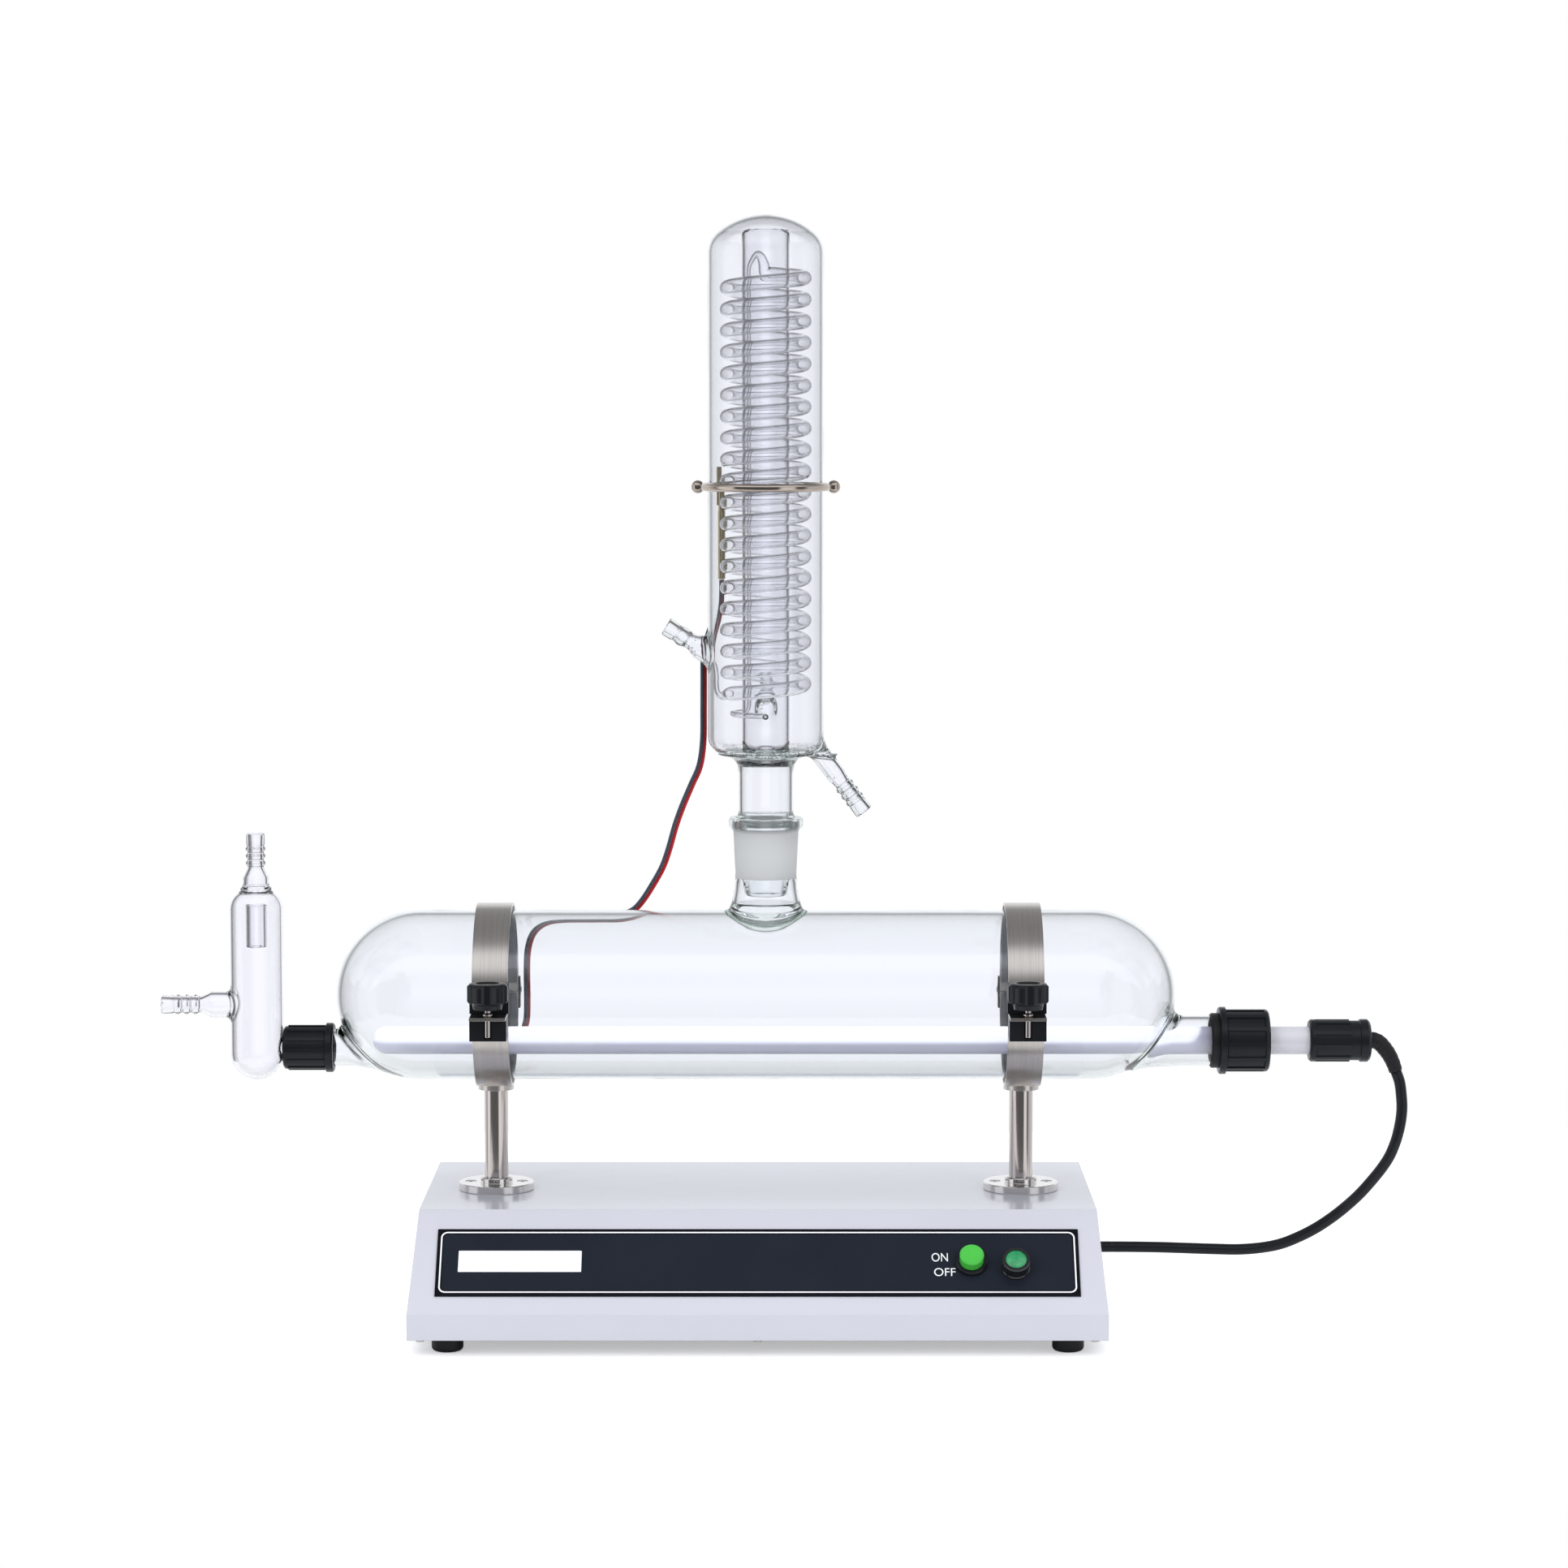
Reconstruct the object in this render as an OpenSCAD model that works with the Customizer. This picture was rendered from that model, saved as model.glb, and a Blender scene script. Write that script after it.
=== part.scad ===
// Glass water distiller: a horizontal boiler on two clamp posts, with an upright
// coil condenser, a constant-level device, a quartz heater and a sloping base.
// Millimetres, +Z up, origin on the table under the condenser's axis.

/* [Base housing] */
// Width of the housing at its bottom edge
base_w = 458; // [430:1:500]
// How far each end wall leans in between the fold and the top
base_lean = 4; // [0:0.5:8]
// Depth of the housing
base_d = 237; // [220:1:280]
// Height of the housing's top sheet
base_top_z = 87; // [80:1:110]
// Height of the fold where the sloping front begins
fold_z = 28; // [24:1:34]
// Depth taken by the sloping front
slope_run = 57.5; // [50:0.5:70]
// Thickness of the folded sheet
sheet = 1.5; // [1:0.1:2]
// Width of the return flange that the bottom plate is screwed to
return_w = 14; // [12:1:18]

/* [Feet] */
// Height of the rubber feet
foot_h = 11; // [8:0.5:14]
// Diameter of the rubber feet
foot_d = 21; // [18:1:28]
// Distance of the feet from the housing's ends
foot_inset_x = 25; // [22:1:50]
// Distance of the feet from the housing's front and back
foot_inset_y = 22; // [20:1:40]

/* [Front panel] */
// Width of the black panel
panel_w = 423; // [400:1:430]
// Height of the panel along the slope
panel_h = 52; // [46:0.5:56]
// Thickness of the panel
panel_t = 1; // [0.6:0.1:2]
// Distance of the button from the panel's middle
button_x = 140.5; // [120:0.5:160]
// Distance of the lamp from the panel's middle
lamp_x = 169.5; // [168:0.5:190]
// Height of the button along the slope, from the fold
controls_s = 40; // [34:0.5:46]
// Height of the lamp along the slope, from the fold
lamp_s = 36; // [34:0.5:46]
// Diameter of the button's green cap
button_d = 16; // [14:0.2:17]
// How far the cap stands above its bezel
button_h = 7; // [5.5:0.5:9]
// Travel of the button
button_travel = 4; // [2:0.5:5]
// Diameter of the button's bezel
bezel_d = 21.5; // [21:0.5:24]
// Height of the button's bezel
bezel_h = 3.2; // [2:0.2:5]
// Diameter of the lamp's bright ring
lamp_d = 19; // [18:0.5:22]
// How far the lamp stands out of the panel
lamp_h = 10.5; // [8:0.5:13]
// Diameter of the lamp's lens
lens_d = 14; // [12:0.5:15]

/* [Posts] */
// Distance between the two posts
post_span = 356.8; // [340:1:380]
// Height from the housing's top to the clamp bands
post_h = 71.4; // [60:1:110]
// Diameter of the posts
post_d = 16; // [14:0.5:18]
// Diameter of the posts' flanges
flange_d = 51; // [48:1:60]
// Thickness of the posts' flanges
flange_t = 5.3; // [4:0.1:8]
// Pitch circle of the flange screws
flange_pcd = 35; // [34:1:38]

/* [Clamps] */
// Width of the clamp bands
band_w = 24; // [22:1:28]
// Thickness of the clamp bands
band_t = 2; // [1.5:0.1:3]
// Thickness of the silicone liners
liner_t = 2.6; // [2:0.1:4]
// How far the clamps' split lies below the boiler's axis
split_drop = 6; // [4:0.5:8]
// Diameter of the clamp knobs
knob_d = 27; // [24:0.5:32]
// Height of the clamp knobs
knob_h = 17.3; // [14:0.1:22]
// Diameter of the clamp studs
stud_d = 4; // [3:0.5:5]
// Thickness of the front pads behind the knobs
pad_t = 6; // [4:0.5:8]
// Diameter of the hinge pins
hinge_pin_d = 4; // [3:0.5:5]

/* [Boiler] */
// Outside diameter of the boiler
boiler_d = 114.4; // [100:0.2:125]
// Length of the boiler over its round ends
boiler_len = 568.2; // [540:0.2:600]
// Wall of the boiler
boiler_wall = 3; // [2:0.1:4]
// Diameter of the left arm
left_arm_d = 24.4; // [22:0.1:26]
// How far the left arm lies below the boiler's axis
left_arm_drop = 36.4; // [30:0.1:37]
// Diameter of the right arm
right_arm_d = 34; // [32:0.5:36]
// How far the heater lies below the boiler's axis
heater_drop = 31.6; // [28:0.1:32]
// Wall of the arms
arm_wall = 2.2; // [1.5:0.1:2.5]
// Height of the neck's rim above the boiler's axis
neck_h = 120.6; // [112:0.1:140]

/* [Ground joint] */
// Large diameter of the ground cone
cone_d = 40; // [36:0.5:42]
// Length of the ground cone
cone_len = 38; // [34:0.5:42]
// Wall of the socket at its narrow end
socket_wall = 2; // [1.5:0.1:2.4]

/* [Condenser] */
// Diameter of the condenser's jacket
jacket_d = 78; // [76:0.5:84]
// Length of the jacket with its dome
jacket_len = 364.5; // [350:0.5:400]
// Wall of the jacket
jacket_wall = 2.5; // [2:0.1:2.6]
// Diameter of the condenser's neck
neck_d = 37; // [36.5:0.1:38]
// Length of the neck between the joint and the jacket
cond_neck_len = 40; // [34:0.5:60]
// Diameter of the inner steam tube
steam_d = 32; // [30:0.1:32.4]
// Wall of the inner steam tube
steam_wall = 1.6; // [1.2:0.1:2.2]

/* [Coil] */
// Number of turns in the coil
coil_turns = 20; // [12:1:22]
// Radius of the coil at the middle of its tube
coil_r = 26; // [25.8:0.1:26.2]
// Diameter of the coil's tube
coil_tube_d = 10; // [8:0.2:10.2]
// Rise of the coil in each turn
coil_pitch = 14.3; // [12:0.1:14.5]
// Height of the lowest turn above the jacket's bottom
coil_lift = 43.7; // [40:0.1:48]
// Diameter of the return leg and of the coil's tails
leg_d = 3.8; // [3:0.1:4]

/* [Level device] */
// Diameter of the level device
lev_d = 35.5; // [32:0.5:40]
// Height of the level device's body
lev_h = 129.9; // [120:0.1:150]
// How far the level device reaches below the left arm's axis
lev_drop = 21.4; // [18:0.1:26]
// Wall of the level device
lev_wall = 1.7; // [1.2:0.1:2.2]
// Diameter of the dip tube
dip_d = 14; // [12:0.5:15]
// Length of the dip tube
dip_len = 38; // [30:1:50]
// Height of the side port above the left arm's axis
side_port_rise = 29.5; // [24:0.5:40]

/* [Caps and heater] */
// Diameter of the left screw cap
cap_d = 30.6; // [29.6:0.2:34]
// Length of the left screw cap
cap_len = 34; // [28:0.5:38]
// Distance of the heater nut's flange from the boiler's end
nut_reach = 30; // [26:0.5:40]
// Diameter of the heater nut's body
nut_d = 42.4; // [41:0.2:46]
// Length of the heater nut
nut_len = 33.8; // [28:0.2:40]
// Diameter of the quartz heater tube
heater_d = 19; // [16:0.5:20]
// Length of the heater tube seen between nut and end cap
heater_gap = 27.6; // [20:0.2:40]
// Diameter of the heater's end cap
end_cap_d = 29; // [26:0.5:32]
// Length of the heater's end cap
end_cap_len = 41.5; // [34:0.5:48]

/* [Hose ports] */
// Diameter at the tip of the hose ports
port_d = 12.6; // [11:0.1:13]
// Bore of the hose ports
port_bore = 7; // [5:0.5:8]
// Length of the plain tip of the hose ports
port_tip = 8; // [6:0.5:9]

/* [Clip and sensor] */
// Height of the ring clip above the jacket's bottom
clip_lift = 183; // [160:1:220]
// Diameter of the ring clip's bar
clip_bar_d = 5.5; // [4:0.5:7]

/* [Hidden] */
$fn = 72;

// Clearances
fit = 0.05;        // a piece that turns or slides on a shaft
seat = 0.15;       // pieces that are screwed or laid together
slack = 0.35;      // covers over threads, and liners over glass
bite = 1;          // how far a cut runs past the face it opens

// Places
base_x = -5;
base_y = -1;
axis_y = 14;
boiler_x = -7;
base_front = base_y - base_d / 2;
base_back = base_y + base_d / 2;
slope_a = atan2(base_top_z - fold_z, slope_run);
slope_len = norm([slope_run, base_top_z - fold_z]);
clamp_r = boiler_d / 2 + seat + liner_t + seat + band_t;
boiler_z = base_top_z + post_h + clamp_r;
clamp_x = [base_x - post_span / 2, base_x + post_span / 2];
boiler_left = boiler_x - boiler_len / 2;
boiler_right = boiler_x + boiler_len / 2;
rim_z = boiler_z + neck_h;
jacket_z = rim_z + cond_neck_len;
jacket_top = jacket_z + jacket_len;
coil_z = jacket_z + coil_lift;
clip_z = jacket_z + clip_lift;

// Base details
floor_z = foot_h + sheet;
hole_m4 = 4.3;
foot_recess_d = 9;
foot_recess_h = 5.5;
screw_m4 = 4;
nut_m4_h = 3;
csk_d = 8.2;
backing_t = 3;
backing_w = 58;
barrel_d = 18.8;
barrel_wall = (barrel_d - button_d) / 2 - seat;
barrel_len = 22;
lamp_hole_d = 16;
stem_d = 6;
switch_h = 16;
inlet_x = base_x - 150;
inlet_z = 48;
inlet_w = 32;
inlet_h = 24;
inlet_depth = 24;
inlet_flange_w = 56;
inlet_flange_t = 2;
inlet_screw_gap = 44;
cable_d = 7.6;
cable_y = 59;
cable_z = 38;
grommet_d = 15;
wire_d = 2.5;
wire_hole_x = -186.4;
wire_hole_y = 77;
wire_grommet_d = 14;

// Arms, caps and heater
arm_left_z = boiler_z - left_arm_drop;
cap_mouth = boiler_left - 2.1;
cap_end = cap_mouth - cap_len;
cap_wall = 2.6;
left_arm_end = cap_end + 7;
lev_x = cap_end - slack - lev_d / 2;
lev_z = arm_left_z - lev_drop;
stub_d = 12;
heater_z = boiler_z - heater_drop;
nut_x = boiler_right + nut_reach;
washer_t = 5.6;
nut_end = nut_x + nut_len;
right_arm_end = nut_x + 14;
end_cap_x = nut_end + heater_gap;
end_cap_end = end_cap_x + end_cap_len;
heater_len = end_cap_x + 10 - (boiler_left + 24);

// Clamp details
gap = 0.3;
lug_t = 2;
lug_z = -split_drop + gap / 2;
stud_y = -(clamp_r + pad_t + 0.5 + knob_d / 2);
knob_z = 1.4;
block_h = 14;
hinge_y = clamp_r + 7.5;
knuckle_r = 5;
leaf_h = 12;
hinge_w = band_w + 2;
block_in = clamp_r * 0.64;  // blocks and leaves are cut round from here outwards
hub_h = 2.5;

// Route of the heater's cable, from the boot to the base
cable_route = [[428.03, 14, 167.9], [430.73, 14, 160.2], [432, 14, 151], [432.5, 14, 142],
    [431.5, 14, 132], [429, 14, 121], [425, 15, 110], [420, 17, 101], [413, 20, 91],
    [405, 23, 81], [396, 27, 71.5], [387, 30, 63.5], [377, 33, 56], [366, 36, 49.5],
    [354, 39, 44], [341, 43, 40.5], [326, 47, 38.5], [309, 51, 38], [291, 54, 38],
    [273, 57, 38], [256, 58.5, 38], [240, 59, 38], [229, 59, 38], [216, 59, 38]];
boot_route = [[410.15, 14, 188.9], [413, 14, 188.9], [416.6, 14, 187.2], [420, 14, 183.6],
    [423.4, 14, 178.9], [426.19, 14, 173.19], [428, 14, 168]];
boot_radii = [5.6, 5.6, 5.5, 5.4, 5.2, 4.9, 4.6];

// Route of the sensor's red wire; the dark wire lies beside it
wire_start_z = 500.6;
wire_route = [[-31.4, 42.5, wire_start_z], [-31.4, 42.5, 492], [-31.9, 42.2, 483],
    [-34.5, 40.5, 472], [-38.5, 36.5, 461], [-41, 33, 448], [-41.2, 31.5, 432],
    [-41.3, 31, 412], [-41.6, 32, 391], [-44, 33.5, 374], [-49.5, 36, 361],
    [-55.8, 39, 346], [-60.8, 41, 332], [-65, 43, 317], [-69.5, 45, 304],
    [-76, 46.8, 292], [-83.3, 47.8, 280.5], [-90, 47.5, 273.6], [-100, 46.4, 270.5],
    [-112, 46, 270.2], [-126, 46, 270.1], [-138, 46.8, 269.8], [-148.5, 50.6, 267.9],
    [-156, 57.4, 262.6], [-161, 65.2, 254.4], [-163.7, 71.4, 243.2], [-164.5, 75, 230],
    [-164.5, 76.2, 217], [-164.5, 76.8, 204], [-165.2, 77.2, 192], [-168.8, 77.6, 181],
    [-174.8, 77.9, 171.5], [-180.3, 78, 162.5], [-183.7, 78, 152], [-184.9, 78, 140],
    [-185, 78, 127], [-185, 78, 113], [-185, 78, 100], [-185, 78, 89], [-185, 78, 80]];
wire_beside = [-2, -2.45, 1.2];
wire_route_2 = [for (i = [0:len(wire_route) - 1])
    let (p = wire_route[i] + wire_beside) i == 0 ? [p.x, p.y, wire_start_z] : p];

// Points on an arc about (x, y), from angle a0 to a1 in n steps
function arc(x, y, r, a0, a1, n = 8) =
    [for (i = [0:n]) let (a = a0 + (a1 - a0) * i / n) [x + r * cos(a), y + r * sin(a)]];
function unit(v) = v / norm(v);
function directions(p) =
    [for (i = [0:len(p) - 1]) unit(p[min(i + 1, len(p) - 1)] - p[max(i - 1, 0)])];
function square_to(v, t) = unit(v - (v * t) * t);

// A tube along points, with a radius at each, carried without twist
module sweep(p, radii, sides, first) {
    t = directions(p);
    n = len(p);
    u = [for (i = 0, w = square_to(first, t[0]); i < n;
              i = i + 1, w = square_to(w, t[min(i, n - 1)])) w];
    rings = [for (i = [0:n - 1]) let (v = cross(t[i], u[i])) for (k = [0:sides - 1])
        let (a = 360 * k / sides) p[i] + radii[i] * (cos(a) * u[i] + sin(a) * v)];
    walls = [for (i = [0:n - 2]) for (k = [0:sides - 1])
        let (a = i * sides + k, b = i * sides + (k + 1) % sides)
        each [[a, a + sides, b], [b, a + sides, b + sides]]];
    ends = [for (k = [1:sides - 2]) each [[0, k, k + 1],
        [(n - 1) * sides, (n - 1) * sides + k + 1, (n - 1) * sides + k]]];
    polyhedron(rings, concat(walls, ends));
}

module revolve(points) {
    rotate_extrude($fn = 96) polygon(points);
}

module along_x(x, z) {
    translate([x, axis_y, z]) rotate([0, 90, 0]) children();
}

module on_axis(z = 0) {
    translate([0, axis_y, z]) children();
}

// Stands a child on the sloping front, s above the fold
module on_slope(x, s) {
    translate([base_x + x, base_front, fold_z]) rotate([slope_a, 0, 0])
        translate([0, s, 0]) children();
}

module at_posts() {
    for (x = clamp_x) translate([x, axis_y, 0]) children();
}

module at_corners(dx, dy) {
    for (sx = [-1, 1]) for (sy = [-1, 1])
        translate([base_x + sx * dx, base_y + sy * dy, 0]) children();
}

// Solid outline of the housing, drawn in by a wall t
module housing_solid(t, bottom) {
    top = base_top_z - t;
    front = base_front + t;
    inner_fold = fold_z - t * tan(slope_a / 2);
    inner_run = (top - inner_fold) / tan(slope_a);
    intersection() {
        translate([base_x - base_w, 0, 0]) rotate([90, 0, 90])
            linear_extrude(2 * base_w) polygon([[front, bottom], [front, inner_fold],
                [front + inner_run, top], [base_back - t, top], [base_back - t, bottom]]);
        translate([base_x, base_y + base_d, 0]) rotate([90, 0, 0])
            linear_extrude(2 * base_d) polygon([
                [-base_w / 2 + t, bottom], [-base_w / 2 + t, fold_z],
                [-base_w / 2 + t + base_lean, base_top_z],
                [base_w / 2 - t - base_lean, base_top_z],
                [base_w / 2 - t, fold_z], [base_w / 2 - t, bottom]]);
    }
}

// Louvres in the rear wall, two rows beside the inlet
module rear_vents() {
    for (i = [0:9]) for (z = [34, 58])
        translate([base_x + 40 + i * 14, base_back - sheet - bite, z])
            cube([4, sheet + 2 * bite, 16]);
}

module base_housing() color("#dde0ea") {
    difference() {
        union() {
            difference() {
                housing_solid(0, foot_h);
                housing_solid(sheet, foot_h - bite);
            }
            // return flange above the bottom plate
            difference() {
                intersection() {
                    housing_solid(sheet / 2, foot_h);
                    translate([base_x - base_w, base_front, floor_z])
                        cube([2 * base_w, base_d, sheet]);
                }
                translate([base_x - base_w / 2 + return_w, base_front + return_w,
                    floor_z - bite])
                    cube([base_w - 2 * return_w, base_d - 2 * return_w, sheet + 2 * bite]);
            }
        }
        on_slope(button_x, controls_s) translate([0, 0, -10])
            cylinder(d = barrel_d + 2 * seat, h = 20);
        on_slope(lamp_x, lamp_s) translate([0, 0, -10])
            cylinder(d = lamp_hole_d + 2 * seat, h = 20);
        at_posts() flange_holes(base_top_z - sheet - bite, hole_m4, sheet + 2 * bite);
        at_posts() translate([0, 0, base_top_z - sheet - bite])
            cylinder(d = 10.5, h = sheet + 2 * bite);
        translate([wire_hole_x, wire_hole_y, base_top_z - sheet - bite])
            cylinder(d = wire_grommet_d - 4, h = sheet + 2 * bite);
        translate([base_x + base_w / 2 - 10, cable_y, cable_z]) rotate([0, 90, 0])
            cylinder(d = grommet_d - 3.6, h = 20);
        translate([inlet_x - inlet_w / 2 - seat, base_back - sheet - bite,
            inlet_z - inlet_h / 2 - seat])
            cube([inlet_w + 2 * seat, sheet + 2 * bite, inlet_h + 2 * seat]);
        for (s = [-1, 1]) translate([inlet_x + s * inlet_screw_gap / 2, base_back + bite,
            inlet_z]) rotate([90, 0, 0]) cylinder(d = 3.2, h = sheet + 2 * bite);
        rear_vents();
        bottom_screw_places() translate([0, 0, floor_z - bite])
            cylinder(d = 3.2, h = sheet + 2 * bite);
    }
}

module flange_holes(z, d, h) {
    for (a = [0:90:270]) rotate([0, 0, a]) translate([flange_pcd / 2, 0, z])
        cylinder(d = d, h = h);
}

module bottom_screw_places() {
    for (sx = [-1, 0, 1]) for (sy = [-1, 1])
        translate([base_x + sx * (base_w / 2 - 8), base_y + sy * (base_d / 2 - 8), 0])
            children();
}

module foot_places() {
    at_corners(base_w / 2 - foot_inset_x, base_d / 2 - foot_inset_y) children();
}

module bottom_plate() color("#b9bcc6") {
    difference() {
        translate([base_x - base_w / 2 + sheet + seat, base_front + sheet + seat, foot_h])
            cube([base_w - 2 * (sheet + seat), base_d - 2 * (sheet + seat), sheet]);
        foot_places() translate([0, 0, foot_h - bite])
            cylinder(d = hole_m4, h = sheet + 2 * bite);
        bottom_screw_places() translate([0, 0, foot_h - bite])
            cylinder(d = 3.2, h = sheet + 2 * bite);
        for (i = [-6:6]) for (y = [-30, 30])
            translate([base_x + i * 14 - 2, base_y + y - 10, foot_h - bite])
                cube([4, 20, sheet + 2 * bite]);
        for (x = [base_x + 60, base_x - 60]) for (y = [base_y + 62, base_y + 92])
            translate([x, y, foot_h - bite]) cylinder(d = 3.2, h = sheet + 2 * bite);
    }
}

module bottom_screws() color("silver") {
    bottom_screw_places() {
        translate([0, 0, foot_h - 2]) cylinder(d = 5.6, h = 2);
        translate([0, 0, foot_h - 2]) cylinder(d = 3, h = 7);
    }
}

module feet() color("#16181c") {
    foot_places() difference() {
        revolve(concat([[0, 0], [foot_d / 2 - 3, 0]],
            arc(foot_d / 2 - 3, 3, 3, -75, 0, 5), [[foot_d / 2, foot_h], [0, foot_h]]));
        translate([0, 0, -bite]) cylinder(d = foot_recess_d, h = foot_recess_h + bite);
        translate([0, 0, -bite]) cylinder(d = hole_m4, h = foot_h + 2 * bite);
    }
}

module foot_screws() color("silver") {
    foot_places() {
        translate([0, 0, foot_recess_h - 3]) cylinder(d = 8, h = 3);
        translate([0, 0, foot_recess_h - 3]) cylinder(d = screw_m4, h = foot_h + 5);
        translate([0, 0, floor_z]) cylinder(d = 8, h = nut_m4_h, $fn = 6);
    }
}

module front_panel() color("#252b35") {
    on_slope(0, controls_s) difference() {
        translate([-panel_w / 2, -panel_h / 2, 0]) cube([panel_w, panel_h, panel_t]);
        translate([button_x, 0, -bite]) cylinder(d = barrel_d + 2 * seat, h = 4);
        translate([lamp_x, lamp_s - controls_s, -bite])
            cylinder(d = lamp_hole_d + 2 * seat, h = 4);
    }
}

module button_bezel() color("#15171b") {
    on_slope(button_x, controls_s) difference() {
        union() {
            translate([0, 0, panel_t]) revolve([[0, 0], [bezel_d / 2, 0],
                [bezel_d / 2, bezel_h - 1], [bezel_d / 2 - 1, bezel_h], [0, bezel_h]]);
            translate([0, 0, -barrel_len]) cylinder(d = barrel_d, h = barrel_len + panel_t + bite);
        }
        translate([0, 0, panel_t + bezel_h - 10]) cylinder(d = button_d + 2 * fit, h = 12);
        translate([0, 0, -barrel_len - bite]) cylinder(d = stem_d + 2 * fit, h = 40);
    }
}

module push_button() color("#4cc24a") {
    on_slope(button_x, controls_s) {
        translate([0, 0, panel_t + bezel_h - 4]) revolve([[0, 0], [button_d / 2, 0],
            [button_d / 2, button_h + 3], [button_d / 2 - 1, button_h + 4],
            [0, button_h + 4]]);
        translate([0, 0, -barrel_len + button_travel + 1])
            cylinder(d = stem_d, h = barrel_len - button_travel + bezel_h - 4);
    }
}

module switch_body() color("#202226") {
    on_slope(button_x, controls_s) translate([0, 0, -barrel_len - switch_h])
        difference() {
            union() {
                translate([-9, -9, 0]) cube([18, 18, switch_h - seat]);
                for (s = [-1, 1]) translate([s * 5 - 0.4, -3, -6]) cube([0.8, 6, 7]);
            }
            translate([0, 0, switch_h - button_travel]) cylinder(d = stem_d + 1, h = 10);
        }
}

module lamp_bezel() color("#c9c6c4") {
    on_slope(lamp_x, lamp_s) difference() {
        union() {
            translate([0, 0, panel_t]) revolve([[0, 0], [lamp_d / 2, 0],
                [lamp_d / 2, 1.2], [lamp_d / 2 - 0.6, 1.8], [lamp_d / 2 - 0.6, lamp_h - 1.6],
                [lamp_d / 2, lamp_h - 1], [lamp_d / 2 - 0.6, lamp_h], [0, lamp_h]]);
            translate([0, 0, -20]) cylinder(d = lamp_hole_d, h = 20 + panel_t + bite);
        }
        translate([0, 0, panel_t + lamp_h - 5]) cylinder(d = lens_d + 2 * fit, h = 8);
        translate([0, 0, -18]) cylinder(d = 10, h = 40);
    }
}

module lamp_lens() color("#2fa864") {
    on_slope(lamp_x, lamp_s) translate([0, 0, panel_t + lamp_h - 5])
        revolve(concat([[0, 0], [lens_d / 2, 0]],
            arc(0, 4.2 - lens_d, sqrt(pow(lens_d, 2) + pow(lens_d / 2, 2)), 63.4, 90, 5)));
}

module panel_nuts() color("silver") {
    on_slope(button_x, controls_s) translate([0, 0, -sheet - 4 - fit]) difference() {
        cylinder(d = 24, h = 4, $fn = 6);
        translate([0, 0, -bite]) cylinder(d = barrel_d + 2 * seat, h = 6);
    }
    on_slope(lamp_x, lamp_s) translate([0, 0, -sheet - 4 - fit]) difference() {
        cylinder(d = 21, h = 4, $fn = 6);
        translate([0, 0, -bite]) cylinder(d = lamp_hole_d + 2 * seat, h = 6);
    }
}

module mains_inlet() color("#1a1c20") {
    translate([inlet_x, base_back, inlet_z]) difference() {
        union() {
            translate([-inlet_flange_w / 2, 0, -inlet_h / 2 - 3])
                cube([inlet_flange_w, inlet_flange_t, inlet_h + 6]);
            translate([-inlet_w / 2, -inlet_depth, -inlet_h / 2])
                cube([inlet_w, inlet_depth + bite, inlet_h]);
        }
        translate([-inlet_w / 2 + 2, -inlet_depth + 3, -inlet_h / 2 + 2])
            cube([inlet_w - 4, inlet_depth + 4, inlet_h - 4]);
        for (x = [-9, 0, 9]) translate([x - 1.1, -inlet_depth - bite, -3.1])
            cube([2.2, 6, 6.2]);
        for (s = [-1, 1]) translate([s * inlet_screw_gap / 2, 4, 0]) rotate([90, 0, 0])
            cylinder(d = 3.3, h = 10);
    }
}

module inlet_pins() color("#c8a860") {
    for (x = [-9, 0, 9]) translate([inlet_x + x - 1, base_back - inlet_depth - 6,
        inlet_z - 3]) cube([2, inlet_depth + 2, 6]);
}

module inlet_screws() color("silver") {
    for (s = [-1, 1]) translate([inlet_x + s * inlet_screw_gap / 2, base_back, inlet_z])
        rotate([90, 0, 0]) {
            translate([0, 0, -inlet_flange_t + 0.2]) cylinder(d1 = 3, d2 = 3, h = 9);
        }
}

module terminal_block() color("#d9d5c8") {
    translate([base_x + 60, base_back - 41.5, floor_z]) difference() {
        union() {
            translate([-9, -24, 0]) cube([18, 48, 8]);
            translate([-6, -24, 7]) cube([12, 48, 9]);
        }
        for (i = [-2:2]) translate([0, i * 9, 8]) cylinder(d = 4, h = 10);
        for (s = [-1, 1]) translate([0, s * 15, -bite]) cylinder(d = 3.2, h = 6);
    }
}

module power_relay() color("#2a2d33") {
    translate([base_x - 60, base_back - 41.5, floor_z]) difference() {
        union() {
            translate([-23, -24, 0]) cube([46, 48, 6]);
            translate([-23, -18, 5]) cube([46, 36, 34]);
            translate([-16, -12, 38]) cube([32, 24, 8]);
        }
        for (i = [-1:1]) for (s = [-1, 1]) translate([i * 13, s * 21, 3])
            cylinder(d = 4, h = 10);
        for (s = [-1, 1]) translate([0, s * 15, -bite]) cylinder(d = 3.2, h = 5);
    }
}

// Flat rubber ring that grips a sheet's hole
module grommet(d, bore, t) {
    difference() {
        union() {
            translate([0, 0, seat]) cylinder(d = d, h = 1.6);
            translate([0, 0, -t - seat - 1.6]) cylinder(d = d, h = 1.6);
            translate([0, 0, -t - seat - 1]) cylinder(d = d - 4.4, h = t + 2);
        }
        translate([0, 0, -t - 5]) cylinder(d = bore, h = t + 10);
    }
}

module cable_grommet() color("#16181c") {
    lean = atan2(base_lean, base_top_z - fold_z);
    wall_x = base_x + base_w / 2 - (cable_z - fold_z) * tan(lean);
    translate([wall_x, cable_y, cable_z]) rotate([0, 90 - lean, 0])
        grommet(grommet_d, cable_d + 0.6, sheet);
}

module wire_grommet() color("#16181c") {
    translate([wire_hole_x, wire_hole_y, base_top_z]) grommet(wire_grommet_d, 7, sheet);
}

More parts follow.
